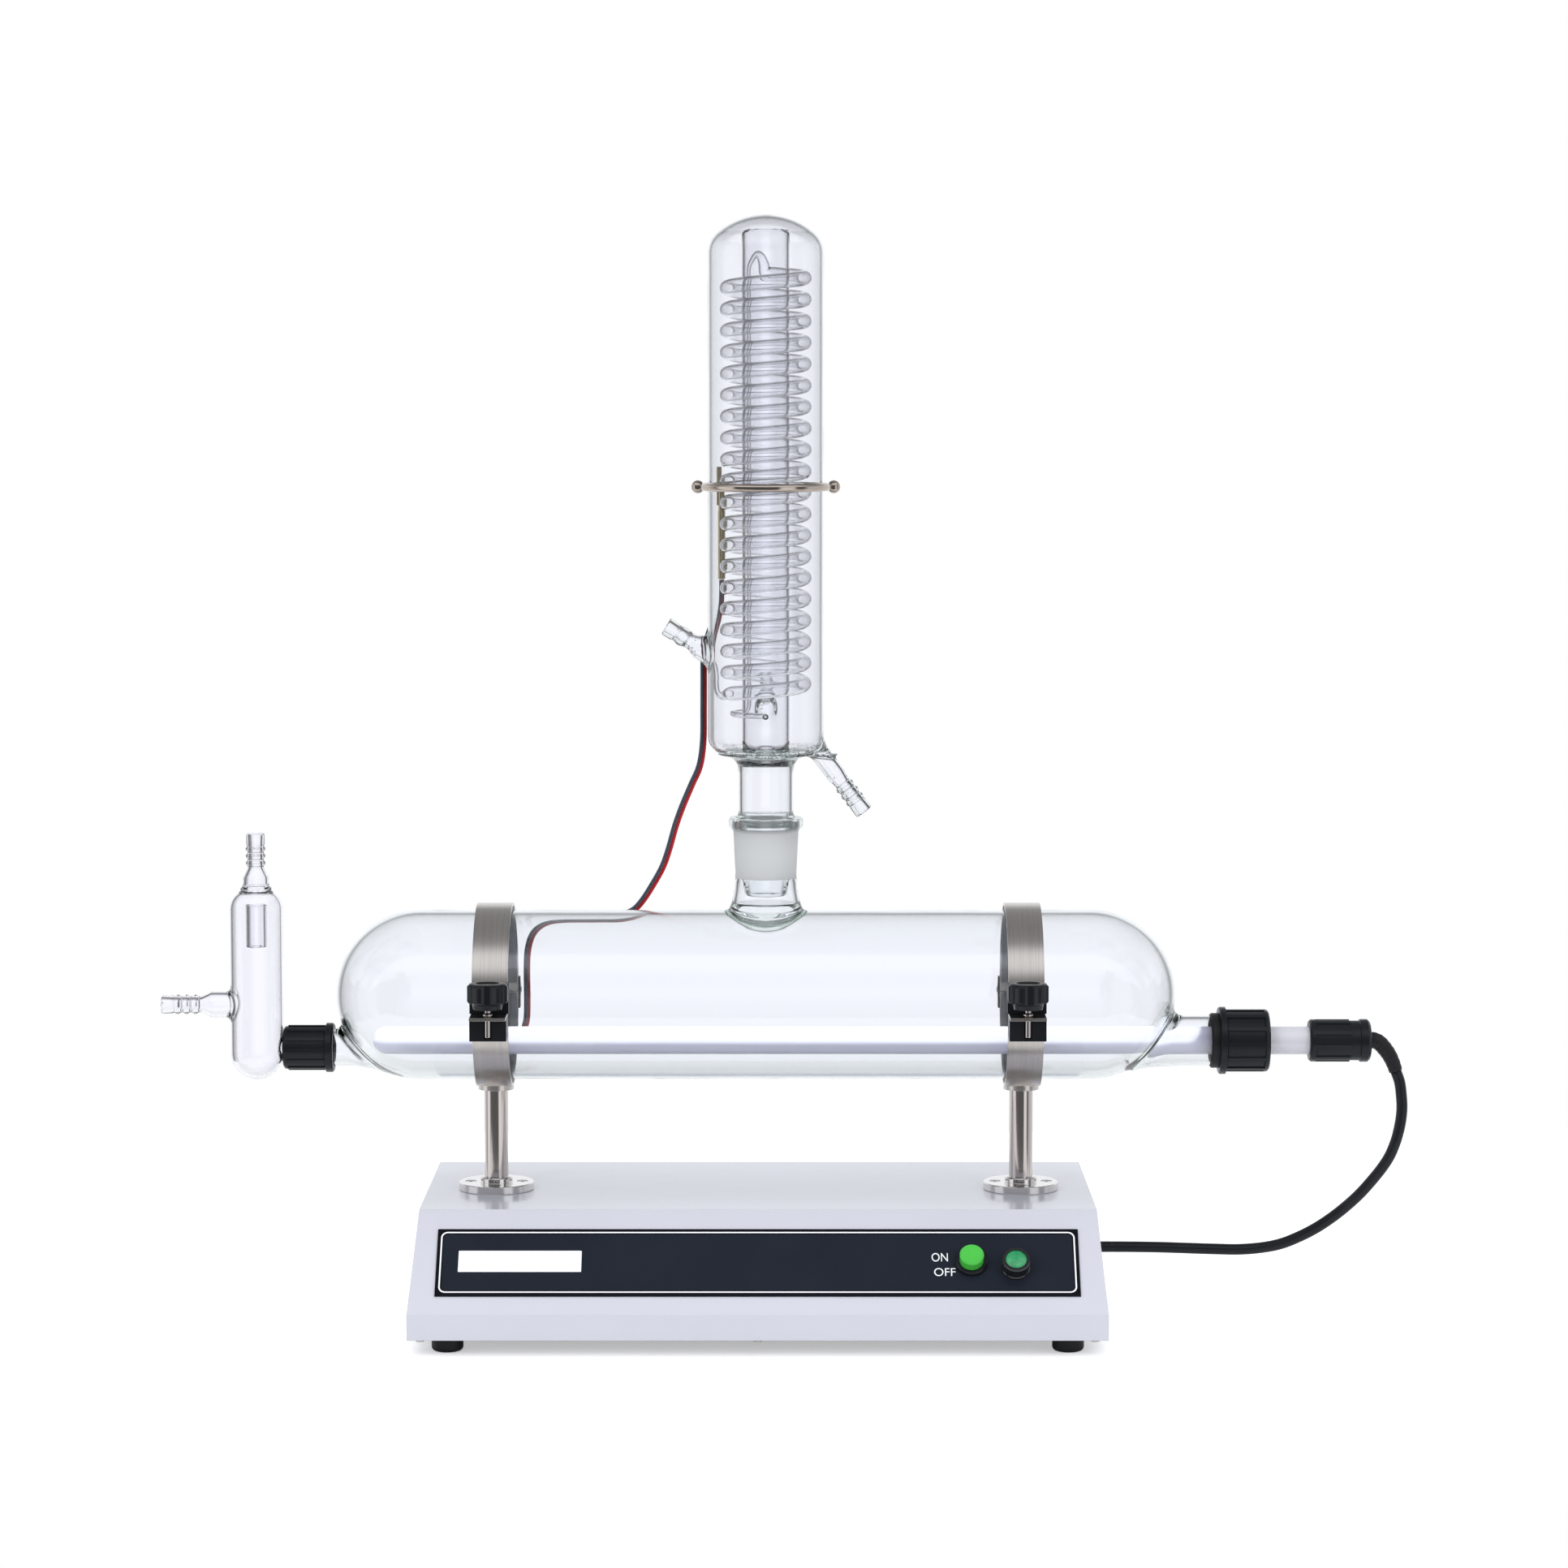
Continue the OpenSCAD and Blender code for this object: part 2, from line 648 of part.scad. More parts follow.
module post(i) color("#c7c2bd") {
    translate([clamp_x[i], axis_y, 0]) difference() {
        translate([0, 0, base_top_z]) cylinder(d = post_d, h = post_h - seat);
        translate([0, 0, base_top_z - bite]) cylinder(d = post_d * 0.375, h = post_h / 3);
    }
}

module post_flanges() color("#d3cfcb") {
    at_posts() difference() {
        union() {
            translate([0, 0, base_top_z]) revolve([[0, 0], [flange_d / 2 - 0.5, 0],
                [flange_d / 2, 0.5], [flange_d / 2, flange_t - 0.5],
                [flange_d / 2 - 0.5, flange_t], [post_d / 2 + 3, flange_t],
                [post_d / 2 + 3, flange_t + 2.6], [post_d / 2 + 2, flange_t + 3.6],
                [0, flange_t + 3.6]]);
        }
        translate([0, 0, base_top_z - bite])
            cylinder(d = post_d + 2 * fit, h = flange_t + 4 + 2 * bite);
        flange_holes(base_top_z - bite, hole_m4, flange_t + 2 * bite);
        for (a = [0:90:270]) rotate([0, 0, a])
            translate([flange_pcd / 2, 0, base_top_z + flange_t - 2.2])
                cylinder(d1 = hole_m4, d2 = csk_d + 0.4, h = 2.3);
    }
}

module flange_screws() color("#a9a39c") {
    at_posts() for (a = [0:90:270]) rotate([0, 0, a])
        translate([flange_pcd / 2, 0, 0]) difference() {
            union() {
                translate([0, 0, base_top_z + flange_t - 2.3 ])
                    cylinder(d1 = screw_m4, d2 = csk_d - 0.5, h = 2.1);
                translate([0, 0, base_top_z - sheet - backing_t - 2])
                    cylinder(d = screw_m4, h = flange_t + sheet + backing_t + 1);
            }
            translate([0, 0, base_top_z + flange_t - 1.6])
                cylinder(d = 2.6, h = 3, $fn = 6);
        }
}

module backing_plates() color("#a9acb6") {
    at_posts() difference() {
        translate([-backing_w / 2, -backing_w / 2 + 6, base_top_z - sheet - backing_t])
            cube([backing_w, backing_w - 12, backing_t]);
        flange_holes(base_top_z - sheet - backing_t - bite, hole_m4, backing_t + 2 * bite);
        translate([0, 0, base_top_z - sheet - backing_t - bite])
            cylinder(d = 10.5, h = backing_t + 2 * bite);
    }
}

// A drum about the boiler's axis, centred on a clamp
module drum(r, w) {
    translate([-w / 2, 0, 0]) rotate([0, 90, 0]) cylinder(r = r, h = w, $fn = 120);
}

module at_clamp(i) {
    translate([clamp_x[i], axis_y, boiler_z]) children();
}

module above(z, w) {
    translate([-w, -2 * clamp_r, z]) cube([2 * w, 4 * clamp_r, 3 * clamp_r]);
}

module below(z, w) {
    translate([-w, -2 * clamp_r, z - 3 * clamp_r]) cube([2 * w, 4 * clamp_r, 3 * clamp_r]);
}

module lower_band(i) color("#b3aca4") {
    at_clamp(i) difference() {
        union() {
            intersection() {
                drum(clamp_r, band_w);
                below(-split_drop - gap / 2, band_w);
            }
            translate([0, 0, -clamp_r - hub_h]) cylinder(d = band_w, h = hub_h + 3);
        }
        drum(clamp_r - band_t, band_w + 2 * bite);
        translate([0, 0, -clamp_r - hub_h - bite]) cylinder(d = post_d + 2 * fit,
            h = hub_h + bite);
    }
}

module upper_band(i) color("#b3aca4") {
    at_clamp(i) difference() {
        union() {
            intersection() {
                drum(clamp_r, band_w);
                above(lug_z, band_w);
            }
            // front lug under the knob
            translate([-band_w / 2, stud_y - 6, lug_z])
                cube([band_w, -stud_y + 6 - clamp_r + band_t / 2 + 1, lug_t]);
        }
        drum(clamp_r - band_t, band_w + 2 * bite);
        translate([0, stud_y, lug_z - bite]) cylinder(d = stud_d + 0.6, h = lug_t + 2 * bite);
    }
}

module lower_liners() color("#e6e7ee") {
    for (i = [0, 1]) at_clamp(i) intersection() {
        difference() {
            drum(clamp_r - band_t - seat, band_w - 2);
            drum(clamp_r - band_t - seat - liner_t, band_w);
        }
        below(-split_drop - 1, band_w);
    }
}

module upper_liner(i) color("#e6e7ee") {
    at_clamp(i) intersection() {
        difference() {
            drum(clamp_r - band_t - seat, band_w - 2);
            drum(clamp_r - band_t - seat - liner_t + 0.15, band_w);
        }
        above(0.5, band_w);
    }
}

// Hinge knuckles about the pin, between x0 and x1
module knuckle(x0, x1, r) {
    translate([x0, hinge_y, -split_drop]) rotate([0, 90, 0]) cylinder(r = r, h = x1 - x0);
}

module hinge_bore(d) {
    knuckle(-hinge_w, hinge_w, d / 2);
}

module lower_blocks() color("#15171b") {
    third = hinge_w / 6;
    for (i = [0, 1]) at_clamp(i) {
        // front block with the slot for the stud
        difference() {
            translate([-hinge_w / 2 + 0.8, stud_y, -split_drop - gap / 2 - block_h])
                cube([hinge_w - 1.6, -stud_y - block_in, block_h]);
            drum(clamp_r + seat, hinge_w + 2);
            translate([-stud_d / 2 - 0.5, stud_y - bite, -split_drop - gap / 2 - 12.4])
                cube([stud_d + 1, stud_d / 2 + 0.6 + bite, 20]);
        }
        // rear leaf with the middle knuckle
        difference() {
            union() {
                translate([-hinge_w / 2, block_in, -split_drop - gap / 2 - leaf_h])
                    cube([hinge_w, hinge_y - block_in, leaf_h]);
                knuckle(-third + seat, third - seat, knuckle_r);
            }
            drum(clamp_r + seat, hinge_w + 2);
            knuckle(-hinge_w, -third + seat, knuckle_r + 0.5);
            knuckle(third - seat, hinge_w, knuckle_r + 0.5);
            hinge_bore(hinge_pin_d + 0.04);
        }
    }
}

module upper_blocks(i) color("#15171b") {
    third = hinge_w / 6;
    at_clamp(i) {
        // pad behind the knob
        difference() {
            translate([-hinge_w / 2, -clamp_r - pad_t, lug_z + lug_t + seat])
                cube([hinge_w, clamp_r + pad_t - block_in, knob_h + 2.4]);
            drum(clamp_r + seat, hinge_w + 2);
        }
        // rear leaf with the outer knuckles
        difference() {
            union() {
                difference() {
                    translate([-hinge_w / 2, block_in, lug_z])
                        cube([hinge_w, hinge_y - block_in - 1.5, leaf_h - 2]);
                    translate([-third - seat - 0.4, hinge_y - knuckle_r - 0.6, lug_z - bite])
                        cube([2 * (third + seat + 0.4), 20, leaf_h + 2]);
                }
                knuckle(-hinge_w / 2, -third - seat, knuckle_r);
                knuckle(third + seat, hinge_w / 2, knuckle_r);
            }
            drum(clamp_r + seat, hinge_w + 2);
            hinge_bore(hinge_pin_d + 2 * fit);
        }
    }
}

module hinge_pins() color("silver") {
    for (i = [0, 1]) at_clamp(i) knuckle(-hinge_w / 2 - 0.6, hinge_w / 2 + 0.6,
        hinge_pin_d / 2);
}

module knob(i) color("#101216") {
    at_clamp(i) translate([0, stud_y, knob_z]) difference() {
        revolve([[0, 0], [knob_d / 2 - 4, 0], [knob_d / 2 - 3.4, 3.2],
            [knob_d / 2 - 0.8, 4.4], [knob_d / 2, 5.4], [knob_d / 2, knob_h - 2],
            [knob_d / 2 - 1.6, knob_h - 0.4], [knob_d / 2 - 3, knob_h],
            [knob_d / 2 - 5.5, knob_h], [knob_d / 2 - 6, knob_h - 1], [0, knob_h - 1]]);
        for (a = [0:60:300]) rotate([0, 0, a + 30])
            translate([knob_d / 2 + 4.3, 0, -bite]) cylinder(r = 6, h = knob_h + 2 * bite);
        translate([0, 0, -bite]) cylinder(d = stud_d + 2 * fit, h = 10 + bite);
    }
}

module stud(i) color("#c9beb2") {
    at_clamp(i) translate([0, stud_y, 0]) {
        translate([0, 0, -split_drop - 11.4])
            cylinder(d = stud_d, h = split_drop + 11.4 + knob_z + 9.5);
        translate([0, 0, lug_z + lug_t + seat]) revolve([[0, 0], [2.6, 0], [3.3, 0.8],
            [3.3, 1.8], [2.6, 2.6], [0, 2.6]]);
    }
}

// Profile of a round-ended tube of radius r between a and b
function capsule(r, a, b, n = 10) =
    concat(arc(0, a + r, r, -90, 0, n), arc(0, b - r, r, 0, 90, n));

module boiler_outline() {
    r = boiler_d / 2;
    along_x(boiler_left, boiler_z) revolve(capsule(r, 0, boiler_len));
    along_x(left_arm_end, arm_left_z)
        cylinder(d = left_arm_d, h = boiler_left + r - 20 - left_arm_end);
    along_x(boiler_right - r + 20, heater_z)
        cylinder(d = right_arm_d, h = right_arm_end - boiler_right + r - 20);
    on_axis() revolve(neck_outline());
}

function neck_outline() =
    let (low = rim_z - cone_len, w = socket_wall, r0 = cone_d / 2 - cone_len / 20)
    [[0, boiler_z + boiler_d / 2 - 16], [r0 + 11.4, boiler_z + boiler_d / 2 - 16],
        [r0 + 11.4, boiler_z + boiler_d / 2 - 3], [r0 + 8.4, boiler_z + boiler_d / 2 + 1],
        [r0 + 5.6, boiler_z + boiler_d / 2 + 6.5], [r0 + 4.2, boiler_z + boiler_d / 2 + 13],
        [r0 + 3.6, low - 4.5], [r0 + w, low - 1.5], [cone_d / 2 + w + 0.2, rim_z - 9],
        [cone_d / 2 + 4.4, rim_z - 8], [cone_d / 2 + 5.1, rim_z - 7],
        [cone_d / 2 + 5.1, rim_z - 1], [cone_d / 2 + 4.1, rim_z], [0, rim_z]];

module boiler_hollow() {
    r = boiler_d / 2;
    bore_left = left_arm_d - 2 * arm_wall;
    bore_right = right_arm_d - 2 * arm_wall;
    low = rim_z - cone_len;
    r0 = cone_d / 2 - cone_len / 20;
    along_x(boiler_left, boiler_z)
        revolve(concat(arc(0, r, r - boiler_wall, -90, 0, 10),
            arc(0, boiler_len - r, r - boiler_wall, 0, 90, 10)));
    along_x(left_arm_end - bite, arm_left_z)
        cylinder(d = bore_left, h = boiler_left + r - 22 - left_arm_end);
    along_x(boiler_right - r + 22, heater_z)
        cylinder(d = bore_right, h = right_arm_end + bite - boiler_right + r - 22);
    on_axis() revolve([[0, boiler_z], [r0 + 7.4, boiler_z],
        [r0 + 7.4, boiler_z + boiler_d / 2 - 5], [r0 + 3.4, boiler_z + boiler_d / 2 + 3],
        [r0 + 1.4, boiler_z + boiler_d / 2 + 13], [r0 + 1, low - 4], [r0 + fit, low],
        [cone_d / 2 + fit, rim_z], [cone_d / 2 + fit, rim_z + bite], [0, rim_z + bite]]);
}

module boiler() color("#dfe6f2", 0.5) {
    difference() {
        boiler_outline();
        boiler_hollow();
    }
}

// Ribs round a cap, between z and z + h
module ribs(n, r, z, h, w, out) {
    for (i = [0:n - 1]) rotate([0, 0, i * 360 / n]) translate([r - 0.8, -w / 2, z])
        cube([0.8 + out, w, h]);
}

module left_cap() color("#16181d") {
    along_x(cap_end, arm_left_z) difference() {
        union() {
            revolve([[0, 0], [cap_d / 2 - 2.2, 0], [cap_d / 2 - 0.8, 1.2],
                [cap_d / 2 - 0.8, cap_len - 6], [cap_d / 2 + 1.4, cap_len - 5],
                [cap_d / 2 + 1.4, cap_len - 1], [cap_d / 2 + 0.4, cap_len], [0, cap_len]]);
            ribs(12, cap_d / 2 - 0.8, 3, cap_len - 8, 2.4, 0.8);
        }
        translate([0, 0, 6]) cylinder(d = left_arm_d + 2 * slack, h = cap_len);
        translate([0, 0, -bite]) cylinder(d = stub_d + 2 * slack, h = 10);
    }
}

module left_seal() color("#7a2f26") {
    along_x(left_arm_end + 0.4, arm_left_z) difference() {
        cylinder(d = left_arm_d - 2 * arm_wall - 2 * seat, h = 7);
        translate([0, 0, -bite]) cylinder(d = stub_d + 2 * seat, h = 10);
    }
}

// Outline of a hose port: plain root, taper, bulges and a plain tip
function port_profile(l, root_d, root_l, bulges = 3) =
    let (r = port_d / 2, step = (l - root_l - 6 - port_tip) / bulges)
    concat([[0, 0], [root_d / 2, 0], [root_d / 2, root_l], [r - 0.7, root_l + 6]],
        [for (i = [0:bulges - 1]) let (z = root_l + 6 + i * step)
            each [[r - 0.7, z + step * 0.15], [r + 0.5, z + step * 0.5],
                [r - 0.7, z + step * 0.85]]],
        [[r - 0.7, l - port_tip - 0.2], [r, l - port_tip], [r, l], [0, l]]);

module port(l, root_d, root_l, bulges = 3) {
    revolve(port_profile(l, root_d, root_l, bulges));
}

module port_hole(l, root_d, root_l) {
    wall = 1.8;
    revolve([[0, -8], [root_d / 2 - wall, -8], [root_d / 2 - wall, root_l],
        [port_bore / 2, root_l + 6], [port_bore / 2, l + bite], [0, l + bite]]);
}

lev_top = lev_z + lev_h;
top_port_l = 37.6;
side_port_l = 49.9;
side_port_z = arm_left_z + side_port_rise;

module leveller() color("#dfe6f2", 0.5) {
    r = lev_d / 2;
    difference() {
        union() {
            translate([lev_x, axis_y, 0]) revolve(concat(arc(0, lev_z + r, r, -90, 0, 8),
                arc(r - 14, lev_top - 14, 14, 0, 90, 6), [[0, lev_top]]));
            translate([lev_x, axis_y, lev_top - 3]) port(top_port_l + 3, 17.5, 12);
            translate([lev_x - r + 3, axis_y, side_port_z]) rotate([0, -90, 0])
                port(side_port_l, 17.6, 18);
            along_x(lev_x + r - 3, arm_left_z)
                cylinder(d = stub_d, h = left_arm_end + 16 - lev_x - r);
        }
        difference() {
            translate([lev_x, axis_y, 0]) revolve(concat(
                arc(0, lev_z + r, r - lev_wall, -90, 0, 8),
                arc(r - 14, lev_top - 14, 14 - lev_wall, 0, 90, 6),
                [[0, lev_top - lev_wall]]));
            // the dip tube stays, fused under the top port
            translate([lev_x, axis_y, lev_top - lev_wall - dip_len]) cylinder(d = dip_d, h = 60);
        }
        translate([lev_x, axis_y, lev_top - lev_wall - dip_len - bite])
            cylinder(d = dip_d - 2.8, h = dip_len + bite);
        translate([lev_x, axis_y, lev_top - 3]) port_hole(top_port_l + 3, 17.5, 12);
        translate([lev_x - r + 3, axis_y, side_port_z]) rotate([0, -90, 0])
            port_hole(side_port_l, 17.6, 18);
        along_x(lev_x + r - 8, arm_left_z) cylinder(d = stub_d - 3.2, h = 80);
    }
}

module heater_tube() color("#cfccd6", 0.7) {
    r = heater_d / 2;
    along_x(end_cap_x + 10 - heater_len, heater_z) difference() {
        revolve(concat(arc(0, r, r, -90, 0, 8), [[r, heater_len], [0, heater_len]]));
        revolve(concat(arc(0, r, r - 1.6, -90, 0, 8),
            [[r - 1.6, heater_len + bite], [0, heater_len + bite]]));
    }
}

module heater_core() color("#e9e4da") {
    along_x(end_cap_x + 10 - heater_len + heater_d, heater_z) {
        cylinder(d = heater_d - 7, h = heater_len - heater_d - 12);
        for (i = [0:11]) translate([0, 0, 12 + i * 48])
            cylinder(d = heater_d - 3.2 - 2 * seat, h = 4);
    }
}

module heater_washer() color("#14161a") {
    along_x(nut_x - washer_t - seat, heater_z) difference() {
        revolve([[0, 0], [right_arm_d / 2 + 0.6, 0], [right_arm_d / 2 + 1.6, 1],
            [right_arm_d / 2 + 1.6, washer_t], [0, washer_t]]);
        translate([0, 0, -bite]) cylinder(d = right_arm_d + 2 * seat, h = 10);
    }
}

module heater_seal() color("#8c3a2e") {
    along_x(right_arm_end - 7, heater_z) difference() {
        cylinder(d = right_arm_d - 2 * arm_wall - 2 * seat, h = 7);
        translate([0, 0, -bite]) cylinder(d = heater_d + 2 * seat, h = 10);
    }
}

module heater_nut() color("#16181d") {
    along_x(nut_x, heater_z) difference() {
        union() {
            revolve([[0, 0], [nut_d / 2 + 0.8, 0], [nut_d / 2 + 1.6, 0.8],
                [nut_d / 2 + 1.6, 4.4], [nut_d / 2 - 1, 5.4], [nut_d / 2 - 1, nut_len - 3.6],
                [nut_d / 2, nut_len - 3], [nut_d / 2 - 0.4, nut_len - 1],
                [nut_d / 2 - 1.6, nut_len], [0, nut_len]]);
            ribs(12, nut_d / 2 - 1, 5, nut_len - 7, 3, 0.9);
        }
        translate([0, 0, -bite]) cylinder(d = right_arm_d + 2 * slack, h = 14 + 0.4 + bite);
        translate([0, 0, -bite]) cylinder(d = heater_d + 2 * slack, h = nut_len + 2 * bite);
    }
}

module heater_end_cap() color("#16181d") {
    l = end_cap_len;
    r = end_cap_d / 2;
    along_x(end_cap_x, heater_z) difference() {
        union() {
            revolve([[0, 0], [r - 1.4, 0], [r - 0.2, 1.2], [r - 0.2, 4], [r - 1, 4.6],
                [r - 1, l * 0.64], [r - 1, l * 0.82], [r - 0.2, l * 0.83], [r, l * 0.85],
                [r, l - 2], [r - 1.4, l - 0.5], [r - 2.4, l], [0, l]]);
            ribs(9, r - 1, 2, l * 0.62, 3, 0.8);
        }
        translate([0, 0, -bite]) cylinder(d = heater_d + 2 * seat, h = 10 + 0.4 + bite);
    }
}

module cable_boot() color("#191b20") {
    sweep(boot_route, boot_radii, 12, [0, 1, 0]);
}

module heater_cable() color("#121419") {
    sweep(cable_route, [for (p = cable_route) cable_d / 2], 12, [0, 1, 0]);
}

// Condenser
cone_low = rim_z - cone_len;
shoulder_r = 12;
port_left_z = jacket_z + 69;
port_rear_z = jacket_z + 27;
port_tilt = 58.6;
left_port_l = 34;
drain_l = 56.5;
drain_tilt = 142.9;
dome_h = 25.5;
knuckle_d = 36;
steam_top = jacket_top - 10.5;

// Half profile of the jacket drawn in by t, from the neck's top to the dome
function jacket_profile(t) =
    let (r = jacket_d / 2 - t, k = knuckle_d / 2, kx = jacket_d / 2 - k,
        kz = jacket_top - dome_h, h = dome_h - k,
        d = (kx * kx - h * h) / (2 * h), crown = dome_h + d,
        bend = atan2(d, kx))
    concat([[neck_d / 2 + 6, jacket_z + 3 + t]],
        arc(r - shoulder_r + t, jacket_z + 3 + shoulder_r, shoulder_r - t, -90, 0, 6),
        arc(kx, kz, k - t, 0, bend, 6), arc(0, kz - d, crown - t, bend, 90, 5));

module jacket_outline() {
    r = neck_d / 2;
    r0 = cone_d / 2 - cone_len / 20 - fit;
    revolve(concat([[0, cone_low - 15], [15, cone_low - 15], [15.3, cone_low - 7],
        [r0, cone_low], [cone_d / 2 - fit, rim_z], [r + 0.8, rim_z + 1.5], [r, rim_z + 3.5]],
        arc(r + 6, jacket_z - 3, 6, 180, 90, 5), jacket_profile(0), [[0, jacket_top]]));
}

module at_port(angle, r, z, tilt) {
    on_axis(z) rotate([0, 0, angle]) translate([r, 0, 0]) rotate([0, tilt, 0]) children();
}

module condenser_jacket() color("#dfe6f2", 0.5) {
    bore = steam_d + 0.8;
    r = jacket_d / 2;
    difference() {
        union() {
            on_axis() jacket_outline();
            at_port(180, r - 5, port_left_z, port_tilt) port(left_port_l + 5, 16.5, 14, 1);
            at_port(90, r - 5, port_rear_z, port_tilt) port(left_port_l + 5, 16.5, 14, 1);
            at_port(0, r - 9, jacket_z + 12, drain_tilt) port(drain_l + 4, 13, 30);
        }
        on_axis() revolve(concat(jacket_profile(jacket_wall),
            [[0, jacket_top - jacket_wall], [0, jacket_z + 3 + jacket_wall]]));
        on_axis() revolve([[0, cone_low - 15 - bite], [12.8, cone_low - 15 - bite],
            [13, cone_low - 7], [15.6, cone_low], [bore / 2, rim_z], [bore / 2, jacket_z + 12],
            [0, jacket_z + 12]]);
        at_port(180, r - 5, port_left_z, port_tilt) port_hole(left_port_l + 5, 16.5, 14);
        at_port(90, r - 5, port_rear_z, port_tilt) port_hole(left_port_l + 5, 16.5, 14);
        at_port(0, r - 9, jacket_z + 12, drain_tilt) port_hole(drain_l + 4, 13, 30);
    }
}

module steam_tube() color("#e6ebf5", 0.4) {
    foot = jacket_z - 12;
    on_axis() difference() {
        revolve([[0, foot], [steam_d / 2 + 0.25, foot], [steam_d / 2 + 0.25, jacket_z + 3],
            [steam_d / 2, jacket_z + 6], [steam_d / 2, steam_top], [0, steam_top]]);
        translate([0, 0, foot - bite])
            cylinder(d = steam_d - 2 * steam_wall, h = steam_top - foot + 2 * bite);
    }
}

// The coil's centre line: tail to the left port, the turns, the arch at the top,
// the return leg down inside the turns and the tail to the rear port.
// Each point is [angle, radius, height, tube radius]
ring_step = 15;
leg_r = (steam_d / 2 + coil_r - coil_tube_d / 2) / 2;
leg_a = -45;
tail_r = (jacket_d / 2 - jacket_wall + coil_r + coil_tube_d / 2) / 2;
wall_r = jacket_d / 2 - jacket_wall - 0.3;
coil_end = 180 + 360 * coil_turns - 90;
coil_top = coil_z + coil_pitch * (coil_turns - 0.25);
tail = leg_d / 2;
tube = coil_tube_d / 2;
coil_start = [[180 - 3, wall_r, port_left_z - 4, tail], [180 - 3, tail_r + 1, port_left_z - 7, tail],
    [180 - 2, tail_r, port_left_z - 13, tail], [180 - 2, tail_r, coil_z + 6, tail],
    [180 - 3, tail_r - 1, coil_z + 1, tail], [180 - 2, tail_r - 4, coil_z - 1.4, tail + 0.8]];
turns = [for (a = [180:ring_step:coil_end])
    [a, coil_r, coil_z + coil_pitch * (a - 180) / 360, a < 200 ? tube - 1 : tube]];
arch = [for (s = [1:6]) let (k = s / 6)
    [coil_end + 45 * (k - 0.18 * sin(180 * k)), coil_r + (leg_r - coil_r) * k * k * (3 - 2 * k),
        coil_top + 12.5 * sin(165 * k), tube + (tail - tube) * min(1, k * 1.4)]];
leg_low = coil_z - coil_tube_d / 2 - 4;
leg = [for (z = [coil_top - 6:-coil_pitch / 1:leg_low + 6]) [coil_end + 45, leg_r, z, tail]];
hook = concat([[coil_end + 45, leg_r, leg_low + 1, tail], [coil_end + 50, leg_r + 1, leg_low - 3, tail]],
    [for (a = [15:15:120]) [coil_end + 45 + a, leg_r + 1 + a * 0.06, leg_low - 4, tail]],
    [[coil_end + 178, tail_r - 4, leg_low - 4, tail], [coil_end + 180, wall_r, leg_low - 4, tail]]);
coil_polar = concat(coil_start, turns, arch, leg, hook);
function place(q) = [q[1] * cos(q[0]), axis_y + q[1] * sin(q[0]), q[2]];
coil_points = [for (q = coil_polar) place(q)];
coil_radii = [for (q = coil_polar) q[3]];
self_gap = min([for (i = [0:len(coil_points) - 1]) for (j = [i + 12:1:len(coil_points) - 1])
    norm(coil_points[i] - coil_points[j]) - coil_radii[i] - coil_radii[j]]);

module condenser_coil() color("#e3e9f4", 0.6) {
    echo(str("least gap of the coil to itself: ", self_gap, " mm"));
    sweep(coil_points, coil_radii, 6, [0, 0, 1]);
}

// Ring clip in two halves, bolted through their ball ends
clip_r = jacket_d / 2 + 0.3 + clip_bar_d / 2;
clip_ball = 4.4;

module clip_half(side) {
    on_axis(clip_z) difference() {
        union() {
            rotate([0, 0, side > 0 ? 0 : 180])
                rotate_extrude(angle = 180, $fn = 96) translate([clip_r, 0])
                    circle(d = clip_bar_d, $fn = 32);
            for (s = [-1, 1]) translate([s * (clip_r + 3.6), 0, 0]) sphere(r = clip_ball, $fn = 48);
        }
        translate([-100, side > 0 ? -100 + 0.1 : -0.1, -20]) cube([200, 100, 40]);
        cylinder(r = jacket_d / 2 + 0.3, h = 40, center = true);
    }
}

module clip_front() color("#8d8078") {
    clip_half(-1);
}

module clip_back() color("#8d8078") {
    clip_half(1);
}

sensor_a = 140;
sensor_h = 60;
sensor_d = 6.6;

module thermostat() color("#8a7440") {
    top = clip_z - clip_bar_d / 2 - 0.3;
    r = jacket_d / 2 + seat + sensor_d / 2;
    on_axis() rotate([0, 0, sensor_a]) {
        translate([r, 0, top - sensor_h]) revolve([[0, 0], [sensor_d / 2 - 0.4, 0],
            [sensor_d / 2, 0.6], [sensor_d / 2, sensor_h - 14], [sensor_d / 2 - 0.5, sensor_h - 13],
            [sensor_d / 2 - 0.5, sensor_h - 1], [sensor_d / 2 - 1, sensor_h], [0, sensor_h]]);
        translate([clip_r + clip_bar_d / 2 + 0.3, -3, top - 10]) cube([1.2, 6, 26]);
    }
}

module wire_red() color("#c4222c") {
    sweep(wire_route, [for (p = wire_route) wire_d / 2], 8, [1, 0, 0]);
}

module wire_dark() color("#2b3440") {
    sweep(wire_route_2, [for (p = wire_route_2) wire_d / 2], 8, [1, 0, 0]);
}

base_housing();
bottom_plate();
bottom_screws();
feet();
foot_screws();
front_panel();
button_bezel();
push_button();
switch_body();
lamp_bezel();
lamp_lens();
panel_nuts();
mains_inlet();
inlet_pins();
inlet_screws();
terminal_block();
power_relay();
cable_grommet();
wire_grommet();
post(0);  // post_left
post(1);  // post_right
post_flanges();
flange_screws();
backing_plates();
lower_band(0);  // lower_band_left
lower_band(1);  // lower_band_right
upper_band(0);  // upper_band_left
upper_band(1);  // upper_band_right
lower_liners();
upper_liner(0);  // upper_liner_left
upper_liner(1);  // upper_liner_right
lower_blocks();
upper_blocks(0);  // upper_blocks_left
upper_blocks(1);  // upper_blocks_right
hinge_pins();
knob(0);  // knob_left
knob(1);  // knob_right
stud(0);  // stud_left
stud(1);  // stud_right
boiler();
left_cap();
left_seal();
leveller();
heater_tube();
heater_core();
heater_nut();
heater_washer();
